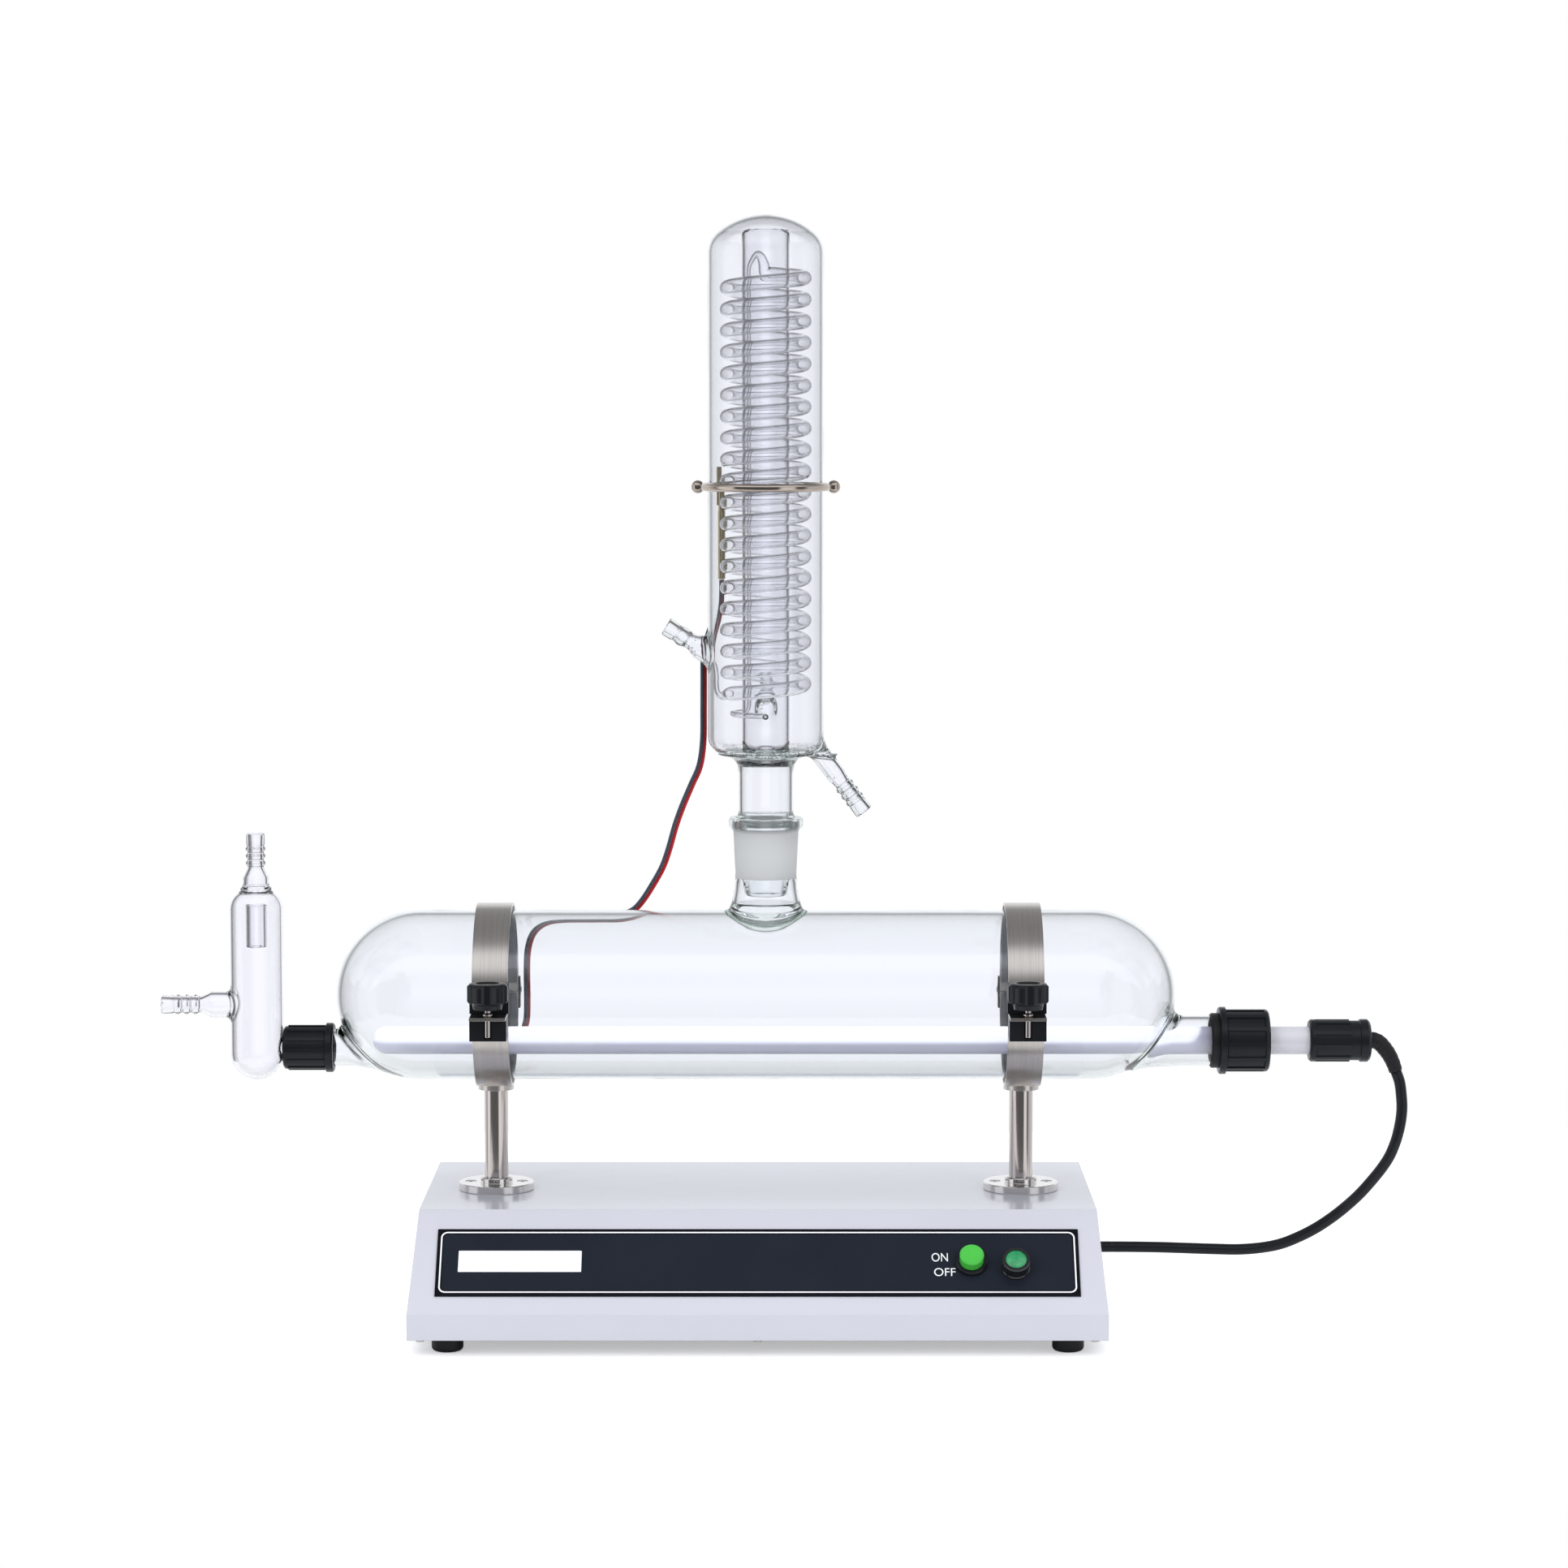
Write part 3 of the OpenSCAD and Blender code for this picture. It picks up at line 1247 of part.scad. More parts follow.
heater_seal();
heater_end_cap();
cable_boot();
heater_cable();
condenser_jacket();
steam_tube();
condenser_coil();
clip_front();
clip_back();
thermostat();
wire_red();
wire_dark();
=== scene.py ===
import math

import bpy
import numpy as np
from mathutils import Matrix, Vector


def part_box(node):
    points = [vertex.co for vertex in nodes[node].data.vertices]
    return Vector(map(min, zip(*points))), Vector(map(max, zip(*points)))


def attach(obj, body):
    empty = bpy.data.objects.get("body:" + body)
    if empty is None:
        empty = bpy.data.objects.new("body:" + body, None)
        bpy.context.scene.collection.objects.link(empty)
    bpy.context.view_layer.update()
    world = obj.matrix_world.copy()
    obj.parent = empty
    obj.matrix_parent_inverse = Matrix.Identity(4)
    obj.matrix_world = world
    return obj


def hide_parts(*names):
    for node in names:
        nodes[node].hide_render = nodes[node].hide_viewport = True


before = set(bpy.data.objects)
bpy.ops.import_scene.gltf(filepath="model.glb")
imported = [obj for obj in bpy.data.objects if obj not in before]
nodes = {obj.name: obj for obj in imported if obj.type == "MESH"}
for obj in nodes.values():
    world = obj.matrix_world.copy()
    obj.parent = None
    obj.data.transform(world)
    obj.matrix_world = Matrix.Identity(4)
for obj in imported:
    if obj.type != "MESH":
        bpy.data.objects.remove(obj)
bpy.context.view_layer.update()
scene = bpy.context.scene

# ---------------------------------------------------------------- camera
cam_data = bpy.data.cameras.new("camera")
cam_data.sensor_width = 36.0
cam_data.lens = 100.62
cam_data.clip_end = 60.0
camera = bpy.data.objects.new("camera", cam_data)
camera.location = (0.01224, -2.93504, 0.6290)
camera.rotation_euler = (math.radians(84.86), 0.0, 0.0)
scene.collection.objects.link(camera)
scene.camera = camera

# ---------------------------------------------------------------- cords
MM = 0.001
CABLE_ROUTE = [(428.03, 14, 167.9), (430.73, 14, 160.2), (432, 14, 151), (432.5, 14, 142),
    (431.5, 14, 132), (429, 14, 121), (425, 15, 110), (420, 17, 101), (413, 20, 91),
    (405, 23, 81), (396, 27, 71.5), (387, 30, 63.5), (377, 33, 56), (366, 36, 49.5),
    (354, 39, 44), (341, 43, 40.5), (326, 47, 38.5), (309, 51, 38), (291, 54, 38),
    (273, 57, 38), (256, 58.5, 38), (240, 59, 38), (229, 59, 38), (216, 59, 38)]
BOOT_ROUTE = [(410.15, 14, 188.9), (413, 14, 188.9), (416.6, 14, 187.2), (420, 14, 183.6),
    (423.4, 14, 178.9), (426.19, 14, 173.19), (428, 14, 168)]
WIRE_START = 500.6
WIRE_ROUTE = [(-31.4, 42.5, WIRE_START), (-31.4, 42.5, 492), (-31.9, 42.2, 483),
    (-34.5, 40.5, 472), (-38.5, 36.5, 461), (-41, 33, 448), (-41.2, 31.5, 432),
    (-41.3, 31, 412), (-41.6, 32, 391), (-44, 33.5, 374), (-49.5, 36, 361),
    (-55.8, 39, 346), (-60.8, 41, 332), (-65, 43, 317), (-69.5, 45, 304),
    (-76, 46.8, 292), (-83.3, 47.8, 280.5), (-90, 47.5, 273.6), (-100, 46.4, 270.5),
    (-112, 46, 270.2), (-126, 46, 270.1), (-138, 46.8, 269.8), (-148.5, 50.6, 267.9),
    (-156, 57.4, 262.6), (-161, 65.2, 254.4), (-163.7, 71.4, 243.2), (-164.5, 75, 230),
    (-164.5, 76.2, 217), (-164.5, 76.8, 204), (-165.2, 77.2, 192), (-168.8, 77.6, 181),
    (-174.8, 77.9, 171.5), (-180.3, 78, 162.5), (-183.7, 78, 152), (-184.9, 78, 140),
    (-185, 78, 127), (-185, 78, 113), (-185, 78, 100), (-185, 78, 89), (-185, 78, 80)]
WIRE_BESIDE = (-2, -2.45, 1.2)
WIRE_ROUTE_2 = [(x + WIRE_BESIDE[0], y + WIRE_BESIDE[1],
                 WIRE_START if i == 0 else z + WIRE_BESIDE[2])
                for i, (x, y, z) in enumerate(WIRE_ROUTE)]
CABLE_D = 7.6
WIRE_D = 2.5

# ---------------------------------------------------------------- mesh tools


def link_mesh(name, verts, faces, smooth=True, normals=None):
    """A mesh object from millimetres, with its faces turned outwards."""
    verts = np.asarray(verts, dtype=float)
    faces = [tuple(int(i) for i in f) for f in faces]
    tris = np.array([(f[0], f[i], f[i + 1]) for f in faces for i in range(1, len(f) - 1)])
    a, b, c = (verts[tris[:, k]] for k in range(3))
    if (np.cross(a, b) * c).sum() < 0:
        faces = [f[::-1] for f in faces]
    me = bpy.data.meshes.new(name)
    me.from_pydata((verts * MM).tolist(), [], faces)
    me.update()
    if smooth:
        me.shade_smooth()
    if normals is not None:
        me.normals_split_custom_set_from_vertices(normals.tolist())
    obj = bpy.data.objects.new(name, me)
    scene.collection.objects.link(obj)
    return obj


def spline(points, per=8):
    """Catmull-Rom points through a list, evenly many per span."""
    p = np.asarray(points, dtype=float)
    q = np.vstack([2 * p[0] - p[1], p, 2 * p[-1] - p[-2]])
    out = []
    for i in range(len(p) - 1):
        a, b, c, d = q[i], q[i + 1], q[i + 2], q[i + 3]
        for k in range(per):
            t = k / per
            out.append(0.5 * ((2 * b) + (-a + c) * t + (2 * a - 5 * b + 4 * c - d) * t * t
                              + (-a + 3 * b - 3 * c + d) * t ** 3))
    out.append(p[-1])
    return np.array(out)


def sweep(points, radii, sides, up, cap=True):
    """Rings along points, carried without twist. Returns vertices and faces."""
    p = np.asarray(points, dtype=float)
    n = len(p)
    t = np.empty_like(p)
    t[1:-1] = p[2:] - p[:-2]
    t[0] = p[1] - p[0]
    t[-1] = p[-1] - p[-2]
    t /= np.linalg.norm(t, axis=1)[:, None]
    w = np.asarray(up, dtype=float)
    ang = np.arange(sides) * 2 * math.pi / sides
    ca, sa = np.cos(ang)[:, None], np.sin(ang)[:, None]
    verts = []
    for i in range(n):
        w = w - (w @ t[i]) * t[i]
        w /= np.linalg.norm(w)
        v = np.cross(t[i], w)
        verts.append(p[i] + radii[i] * (ca * w + sa * v))
    verts = np.vstack(verts)
    faces = []
    for i in range(n - 1):
        for k in range(sides):
            a, b = i * sides + k, i * sides + (k + 1) % sides
            faces.append((a, b, b + sides, a + sides))
    if cap:
        faces.append(tuple(range(sides))[::-1])
        faces.append(tuple((n - 1) * sides + k for k in range(sides)))
    return verts, faces


def revolve(profile, steps=96, closed=True):
    """A closed outline of (radius, height) turned about Z. Points on the axis are shared."""
    verts, rings = [], []
    for r, z in profile:
        if abs(r) < 1e-6:
            rings.append([len(verts)] * steps)
            verts.append((0, 0, z))
        else:
            start = len(verts)
            for k in range(steps):
                a = 2 * math.pi * k / steps
                verts.append((r * math.cos(a), r * math.sin(a), z))
            rings.append(list(range(start, start + steps)))
    faces = []
    last = len(profile) if closed else len(profile) - 1
    for i in range(last):
        a, b = rings[i], rings[(i + 1) % len(profile)]
        for k in range(steps):
            k2 = (k + 1) % steps
            f = [a[k], a[k2], b[k2], b[k]]
            g = []
            for v in f:
                if v not in g:
                    g.append(v)
            if len(g) > 2:
                faces.append(tuple(g))
    return np.array(verts, dtype=float), faces


def arc(x, y, r, a0, a1, n):
    return [(x + r * math.cos(math.radians(a0 + (a1 - a0) * i / n)),
             y + r * math.sin(math.radians(a0 + (a1 - a0) * i / n))) for i in range(n + 1)]


def place(verts, origin, direction):
    """Turns +Z of a revolved form to a direction and moves it to its place."""
    q = Vector((0, 0, 1)).rotation_difference(Vector(direction).normalized())
    m = np.array(q.to_matrix())
    return np.asarray(verts) @ m.T + np.asarray(origin, dtype=float)


# ---- distance fields, in millimetres, for the blown and fused glass


def smooth_min(a, b, k):
    h = np.clip(0.5 + 0.5 * (b - a) / k, 0, 1)
    return b + (a - b) * h - k * h * (1 - h)


def smooth_max(a, b, k):
    return -smooth_min(-a, -b, k)


class Turned:
    """A solid of revolution: radius against height along an axis, cut square at both ends."""

    def __init__(self, origin, direction, table, soften=0.6):
        self.o = np.asarray(origin, dtype=float)
        self.d = np.asarray(direction, dtype=float)
        self.d /= np.linalg.norm(self.d)
        t = np.array([a for a, _ in table], dtype=float)
        r = np.array([b for _, b in table], dtype=float)
        self.t = np.arange(t[0], t[-1] + 0.05, 0.1)
        raw = np.interp(self.t, t, r)
        n = max(1, int(soften / 0.1))
        if n > 1:
            pad = np.concatenate([np.full(n, raw[0]), raw, np.full(n, raw[-1])])
            k = np.hanning(2 * n + 1)
            raw = np.convolve(pad, k / k.sum(), mode="same")[n:-n]
        self.r = raw
        self.slope = np.gradient(self.r, 0.1)
        self.ends = (t[0], t[-1])

    def __call__(self, p):
        q = p - self.o
        t = q @ self.d
        rho = np.sqrt(np.maximum((q * q).sum(axis=1) - t * t, 0))
        r = np.interp(t, self.t, self.r)
        s = np.interp(t, self.t, self.slope)
        side = (rho - r) / np.sqrt(1 + s * s)
        return np.maximum(side, np.maximum(self.ends[0] - t, t - self.ends[1]))


NET_ROUNDS = 9
NET_PROBE = 0.02  # how far each way a field's slope is measured, in mm


def surface_nets(field, xs, ys, zs):
    """Quads on the zero level of a field over an uneven grid, drawn onto it afterwards."""
    nx, ny, nz = len(xs), len(ys), len(zs)
    v = np.empty((nx, ny, nz), dtype=np.float32)
    gy, gz = np.meshgrid(ys, zs, indexing="ij")
    flat = np.empty((ny * nz, 3))
    flat[:, 1], flat[:, 2] = gy.ravel(), gz.ravel()
    for i, x in enumerate(xs):
        flat[:, 0] = x
        v[i] = field(flat).reshape(ny, nz)
    inside = v < 0
    corners = [(a, b, c) for a in (0, 1) for b in (0, 1) for c in (0, 1)]

    def at(arr, c):
        return arr[c[0]:nx - 1 + c[0], c[1]:ny - 1 + c[1], c[2]:nz - 1 + c[2]]

    count = sum(at(inside, c).astype(np.int8) for c in corners)
    mixed = (count > 0) & (count < 8)
    ci, cj, ck = np.nonzero(mixed)
    ids = np.full(mixed.shape, -1, dtype=np.int64)
    ids[ci, cj, ck] = np.arange(len(ci))
    pos = np.zeros((len(ci), 3))
    hits = np.zeros(len(ci))
    lo = (np.asarray(xs), np.asarray(ys), np.asarray(zs))
    for c in corners:
        for axis in range(3):
            if c[axis]:
                continue
            d = list(c)
            d[axis] = 1
            va = v[ci + c[0], cj + c[1], ck + c[2]].astype(float)
            vb = v[ci + d[0], cj + d[1], ck + d[2]].astype(float)
            cross = (va < 0) != (vb < 0)
            t = np.where(cross, va / np.where(cross, va - vb, 1), 0)
            pa = np.stack([lo[0][ci + c[0]], lo[1][cj + c[1]], lo[2][ck + c[2]]], axis=1)
            pb = np.stack([lo[0][ci + d[0]], lo[1][cj + d[1]], lo[2][ck + d[2]]], axis=1)
            pos += np.where(cross[:, None], pa + (pb - pa) * t[:, None], 0)
            hits += cross
    pos /= hits[:, None]
    cell = np.minimum(np.minimum(np.diff(lo[0])[ci], np.diff(lo[1])[cj]), np.diff(lo[2])[ck])
    faces = []
    for axis in range(3):
        a = [slice(None)] * 3
        b = [slice(None)] * 3
        a[axis], b[axis] = slice(0, -1), slice(1, None)
        flip = inside[tuple(a)] != inside[tuple(b)]
        u, w = (axis + 1) % 3, (axis + 2) % 3
        idx = np.nonzero(flip)
        keep = ((idx[u] > 0) & (idx[w] > 0) & (idx[u] < (nx, ny, nz)[u] - 1)
                & (idx[w] < (nx, ny, nz)[w] - 1))
        idx = [k[keep] for k in idx]
        first_in = inside[tuple(a)][tuple(idx)]

        def cid(du, dw):
            k = [x.copy() for x in idx]
            k[u] += du
            k[w] += dw
            return ids[tuple(k)]

        q = np.stack([cid(-1, -1), cid(0, -1), cid(0, 0), cid(-1, 0)], axis=1)
        q[~first_in] = q[~first_in][:, ::-1]
        faces.append(q)
    faces = np.vstack(faces)
    ends = np.unique(np.sort(np.vstack([faces[:, [0, 1]], faces[:, [1, 2]], faces[:, [2, 3]],
                                        faces[:, [3, 0]]]), axis=1), axis=0)
    a, b = ends.T
    ways = np.bincount(a, minlength=len(pos)) + np.bincount(b, minlength=len(pos))
    for turn in range(NET_ROUNDS):
        if turn < NET_ROUNDS - 3:  # even out the net before the last steps onto the surface
            mid = np.stack([np.bincount(a, pos[b, k], len(pos)) + np.bincount(b, pos[a, k], len(pos))
                            for k in range(3)], axis=1) / ways[:, None]
            pos = 0.45 * pos + 0.55 * mid
        f = field(pos)
        g = np.empty_like(pos)
        for k in range(3):
            e = np.zeros(3)
            e[k] = NET_PROBE
            g[:, k] = (field(pos + e) - field(pos - e)) / (2 * NET_PROBE)
        gg = np.maximum((g * g).sum(axis=1), 0.05)
        step = -(f / gg)[:, None] * g
        size = np.linalg.norm(step, axis=1)
        step *= np.minimum(1, 0.4 * cell / np.maximum(size, 1e-9))[:, None]
        pos = pos + step
    return pos, faces, g / np.linalg.norm(g, axis=1)[:, None]


def steps_between(*spans):
    """Grid lines from (start, end, step) spans that follow each other."""
    out = [spans[0][0]]
    for a, b, s in spans:
        n = max(1, int(round((b - a) / s)))
        out += [a + (b - a) * (i + 1) / n for i in range(n)]
    return np.array(out)


# ---------------------------------------------------------------- materials


class Nodes:
    def __init__(self, name):
        self.mat = bpy.data.materials.new(name)
        self.mat.use_nodes = True
        self.tree = self.mat.node_tree
        self.tree.nodes.clear()
        self.out = self.add("ShaderNodeOutputMaterial")
        self.bsdf = self.add("ShaderNodeBsdfPrincipled")
        self.link(self.bsdf.outputs[0], self.out.inputs["Surface"])
        self.coord = self.add("ShaderNodeTexCoord")

    def add(self, kind, **props):
        n = self.tree.nodes.new(kind)
        for k, v in props.items():
            setattr(n, k, v)
        return n

    def link(self, a, b):
        self.tree.links.new(a, b)

    def mapped(self, scale=(1, 1, 1), rotation=(0, 0, 0)):
        m = self.add("ShaderNodeMapping")
        m.inputs["Scale"].default_value = scale
        m.inputs["Rotation"].default_value = rotation
        self.link(self.coord.outputs["Object"], m.inputs["Vector"])
        return m.outputs["Vector"]

    def noise(self, vector, scale, detail=3.0, rough=0.55, distortion=0.0):
        n = self.add("ShaderNodeTexNoise")
        n.inputs["Scale"].default_value = scale
        n.inputs["Detail"].default_value = detail
        n.inputs["Roughness"].default_value = rough
        n.inputs["Distortion"].default_value = distortion
        self.link(vector, n.inputs["Vector"])
        return n.outputs["Fac"]

    def ramp(self, fac, stops, interpolation="LINEAR"):
        r = self.add("ShaderNodeValToRGB")
        r.color_ramp.interpolation = interpolation
        e = r.color_ramp.elements
        e[0].position, e[0].color = stops[0][0], (*stops[0][1], 1)
        e[1].position, e[1].color = stops[-1][0], (*stops[-1][1], 1)
        for at, col in stops[1:-1]:
            k = e.new(at)
            k.color = (*col, 1)
        self.link(fac, r.inputs["Fac"])
        return r.outputs["Color"]

    def span(self, fac, low, high):
        m = self.add("ShaderNodeMapRange")
        m.inputs["To Min"].default_value = low
        m.inputs["To Max"].default_value = high
        self.link(fac, m.inputs["Value"])
        return m.outputs["Result"]

    def bump(self, height, strength, distance, normal=None):
        b = self.add("ShaderNodeBump")
        b.inputs["Strength"].default_value = strength
        b.inputs["Distance"].default_value = distance
        self.link(height, b.inputs["Height"])
        if normal is not None:
            self.link(normal, b.inputs["Normal"])
        return b.outputs["Normal"]

    def set(self, **values):
        for k, v in values.items():
            self.bsdf.inputs[k.replace("_", " ")].default_value = v


def tint(col, f):
    return tuple(max(0.0, min(1.0, c * f)) for c in col)


def plain(name, colour, rough=0.4, metallic=0.0, spread=0.06, grain=900, bump=0.05,
          coat=0.0, rounded=0.0, ior=1.5, wear=0.05):
    """Moulded or painted surface: fine grain, slow tone changes, uneven gloss."""
    m = Nodes(name)
    v = m.mapped()
    slow = m.noise(v, 22, 4, 0.6)
    fine = m.noise(v, grain, 2, 0.5)
    m.link(m.ramp(slow, [(0.3, tint(colour, 1 - spread)), (0.7, tint(colour, 1 + spread))]),
           m.bsdf.inputs["Base Color"])
    m.link(m.span(m.noise(v, 60, 4, 0.65), max(0.02, rough - wear), rough + wear),
           m.bsdf.inputs["Roughness"])
    normal = None
    if rounded:
        b = m.add("ShaderNodeBevel", samples=6)
        b.inputs["Radius"].default_value = rounded
        normal = b.outputs["Normal"]
    m.link(m.bump(fine, bump, 0.0002, normal), m.bsdf.inputs["Normal"])
    m.set(Metallic=metallic, IOR=ior, Coat_Weight=coat, Coat_Roughness=0.05)
    return m.mat


def brushed(name, colour, rough, stretch, spread=0.10, strength=0.10, aniso=0.0, rounded=0.0):
    """Metal with fine lines that run along the axis whose scale is small."""
    m = Nodes(name)
    v = m.mapped(scale=stretch)
    lines = m.noise(v, 1.0, 4, 0.7)
    slow = m.noise(m.mapped(), 30, 3, 0.5)
    m.link(m.ramp(lines, [(0.25, tint(colour, 1 - spread)), (0.75, tint(colour, 1 + spread))]),
           m.bsdf.inputs["Base Color"])
    m.link(m.span(slow, rough * 0.8, rough * 1.25), m.bsdf.inputs["Roughness"])
    normal = None
    if rounded:
        b = m.add("ShaderNodeBevel", samples=6)
        b.inputs["Radius"].default_value = rounded
        normal = b.outputs["Normal"]
    m.link(m.bump(lines, strength, 0.0002, normal), m.bsdf.inputs["Normal"])
    m.set(Metallic=1.0, Anisotropic=aniso)
    return m.mat


def glass(name, colour=(0.985, 0.987, 1.0), rough=0.0, ior=1.474, frosted=None, wave=0.06,
          depth=9.0, body=(0.62, 0.86, 0.70)):
    """Blown glass: clear, slightly uneven, with a ground zone between two heights if asked."""
    m = Nodes(name)
    v = m.mapped()
    uneven = m.noise(v, 26, 2, 0.4)
    m.set(IOR=ior, Transmission_Weight=1.0)
    m.bsdf.inputs["Base Color"].default_value = (*colour, 1)
    m.bsdf.inputs["Roughness"].default_value = rough
    normal = m.bump(uneven, wave, 0.0012)
    if frosted:
        sep = m.add("ShaderNodeSeparateXYZ")
        m.link(m.coord.outputs["Object"], sep.inputs[0])
        low, high = frosted
        a = m.add("ShaderNodeMapRange", interpolation_type="SMOOTHSTEP")
        a.inputs["From Min"].default_value, a.inputs["From Max"].default_value = low - 0.0006, low + 0.0006
        b = m.add("ShaderNodeMapRange", interpolation_type="SMOOTHSTEP")
        b.inputs["From Min"].default_value, b.inputs["From Max"].default_value = high + 0.0006, high - 0.0006
        m.link(sep.outputs["Z"], a.inputs["Value"])
        m.link(sep.outputs["Z"], b.inputs["Value"])
        both = m.add("ShaderNodeMath", operation="MULTIPLY")
        m.link(a.outputs["Result"], both.inputs[0])
        m.link(b.outputs["Result"], both.inputs[1])
        zone = both.outputs[0]
        m.link(m.span(zone, rough, 0.42), m.bsdf.inputs["Roughness"])
        fine = m.noise(v, 2600, 2, 0.6)
        grind = m.add("ShaderNodeMath", operation="MULTIPLY")
        m.link(fine, grind.inputs[0])
        m.link(zone, grind.inputs[1])
        normal = m.bump(grind.outputs[0], 0.35, 0.0002, normal)
        milky = m.add("ShaderNodeBsdfDiffuse")
        milky.inputs["Color"].default_value = (0.97, 0.97, 0.98, 1)
        through = m.add("ShaderNodeBsdfTranslucent")
        through.inputs["Color"].default_value = (0.97, 0.97, 0.98, 1)
        white = m.add("ShaderNodeMixShader")
        white.inputs[0].default_value = 0.6
        m.link(milky.outputs[0], white.inputs[1])
        m.link(through.outputs[0], white.inputs[2])
        mix = m.add("ShaderNodeMixShader")
        share = m.add("ShaderNodeMath", operation="MULTIPLY")
        share.inputs[1].default_value = 0.78
        m.link(zone, share.inputs[0])
        m.link(share.outputs[0], mix.inputs[0])
        m.link(m.bsdf.outputs[0], mix.inputs[1])
        m.link(white.outputs[0], mix.inputs[2])
        m.link(mix.outputs[0], m.out.inputs["Surface"])
    m.link(normal, m.bsdf.inputs["Normal"])
    if depth:
        vol = m.add("ShaderNodeVolumeAbsorption")
        vol.inputs["Color"].default_value = (*body, 1)
        vol.inputs["Density"].default_value = depth
        m.link(vol.outputs[0], m.out.inputs["Volume"])
    return m.mat


MAT = {
    "housing": plain("housing_paint", (0.60, 0.61, 0.68), 0.18, spread=0.010, grain=1400, bump=0.03,
                     rounded=0.0007, coat=0.25, wear=0.03),
    "plate": plain("plate_paint", (0.50, 0.51, 0.55), 0.35, spread=0.04, bump=0.05),
    "panel": plain("panel_gloss", (0.014, 0.018, 0.028), 0.16, spread=0.08, grain=600, bump=0.01,
                   rounded=0.0003, wear=0.03, ior=1.22),
    "print": plain("printed_white", (0.86, 0.87, 0.90), 0.4, spread=0.02, grain=1500, bump=0.05),
    # near-black colour for the two rings at the panel's rim and just inside its white line
    "ink": plain("panel_rim_black", (0.004, 0.005, 0.008), 0.3, spread=0.1, grain=1500, bump=0.03, ior=1.2),
    "black": plain("black_plastic", (0.008, 0.009, 0.012), 0.32, spread=0.25, grain=1200, bump=0.10,
                   rounded=0.0004, wear=0.07, ior=1.33),
    "knob": plain("knob_plastic", (0.007, 0.008, 0.010), 0.20, spread=0.25, grain=1300, bump=0.06,
                  rounded=0.0006, wear=0.05, ior=1.38),
    "lamp_ring": plain("lamp_black", (0.010, 0.011, 0.013), 0.12, spread=0.15, grain=1200, bump=0.03,
                       rounded=0.0005, coat=0.6, wear=0.03, ior=1.45),
    "rubber": plain("black_rubber", (0.010, 0.010, 0.012), 0.50, spread=0.2, grain=1600, bump=0.15,
                    ior=1.36),
    "red_rubber": plain("red_rubber", (0.30, 0.06, 0.04), 0.5, spread=0.12, grain=1200, bump=0.1),
    "green": plain("green_cap", (0.060, 0.50, 0.055), 0.30, spread=0.07, grain=900, bump=0.05,
                   rounded=0.0006, wear=0.05),
    "cream": plain("cream_plastic", (0.78, 0.74, 0.64), 0.4, spread=0.05),
    "relay": plain("relay_plastic", (0.05, 0.055, 0.065), 0.4, spread=0.1),
    "cable": plain("cable_sheath", (0.008, 0.009, 0.012), 0.30, spread=0.2, grain=1500, bump=0.06,
                   wear=0.06, ior=1.36),
    "wire_red": plain("wire_red", (0.60, 0.012, 0.022), 0.32, spread=0.1, grain=1500, bump=0.05),
    "wire_dark": plain("wire_dark", (0.045, 0.060, 0.085), 0.32, spread=0.1, grain=1500, bump=0.05),
    "ceramic": plain("ceramic", (0.80, 0.77, 0.70), 0.6, spread=0.05, grain=1500, bump=0.2),
    "bright": brushed("bright_steel", (0.60, 0.55, 0.52), 0.10, (900, 900, 20), spread=0.05,
                      strength=0.03, rounded=0.0003),
    "flange": brushed("flange_steel", (0.76, 0.74, 0.72), 0.09, (400, 400, 400), spread=0.04,
                      strength=0.02, rounded=0.0004),
    "screw": brushed("screw_steel", (0.48, 0.45, 0.42), 0.22, (900, 900, 900), spread=0.10,
                     strength=0.08, rounded=0.0002),
    "band": brushed("band_steel", (0.60, 0.565, 0.53), 0.24, (1500, 14, 14), spread=0.14,
                    strength=0.12, rounded=0.0003),
    "sheet": brushed("plate_steel", (0.55, 0.56, 0.58), 0.30, (10, 900, 900)),
    "ring": brushed("ring_chrome", (0.50, 0.43, 0.37), 0.07, (600, 600, 600), spread=0.06,
                    strength=0.02),
    "brass": brushed("sensor_brass", (0.50, 0.40, 0.20), 0.30, (500, 500, 900), spread=0.16,
                     strength=0.12, rounded=0.0003),
}
MAT["glass"] = glass("clear_glass", depth=0)
MAT["joint"] = glass("joint_glass", frosted=(0.3005, 0.3340), depth=20.0)
MAT["coil"] = glass("coil_glass", wave=0.10, depth=0)


def silicone():
    m = Nodes("silicone")
    v = m.mapped()
    m.bsdf.inputs["Base Color"].default_value = (0.86, 0.87, 0.91, 1)
    m.link(m.span(m.noise(v, 120, 3), 0.30, 0.45), m.bsdf.inputs["Roughness"])
    m.link(m.bump(m.noise(v, 900, 2), 0.08, 0.0002), m.bsdf.inputs["Normal"])
    m.set(Transmission_Weight=0.7, IOR=1.42)
    return m.mat


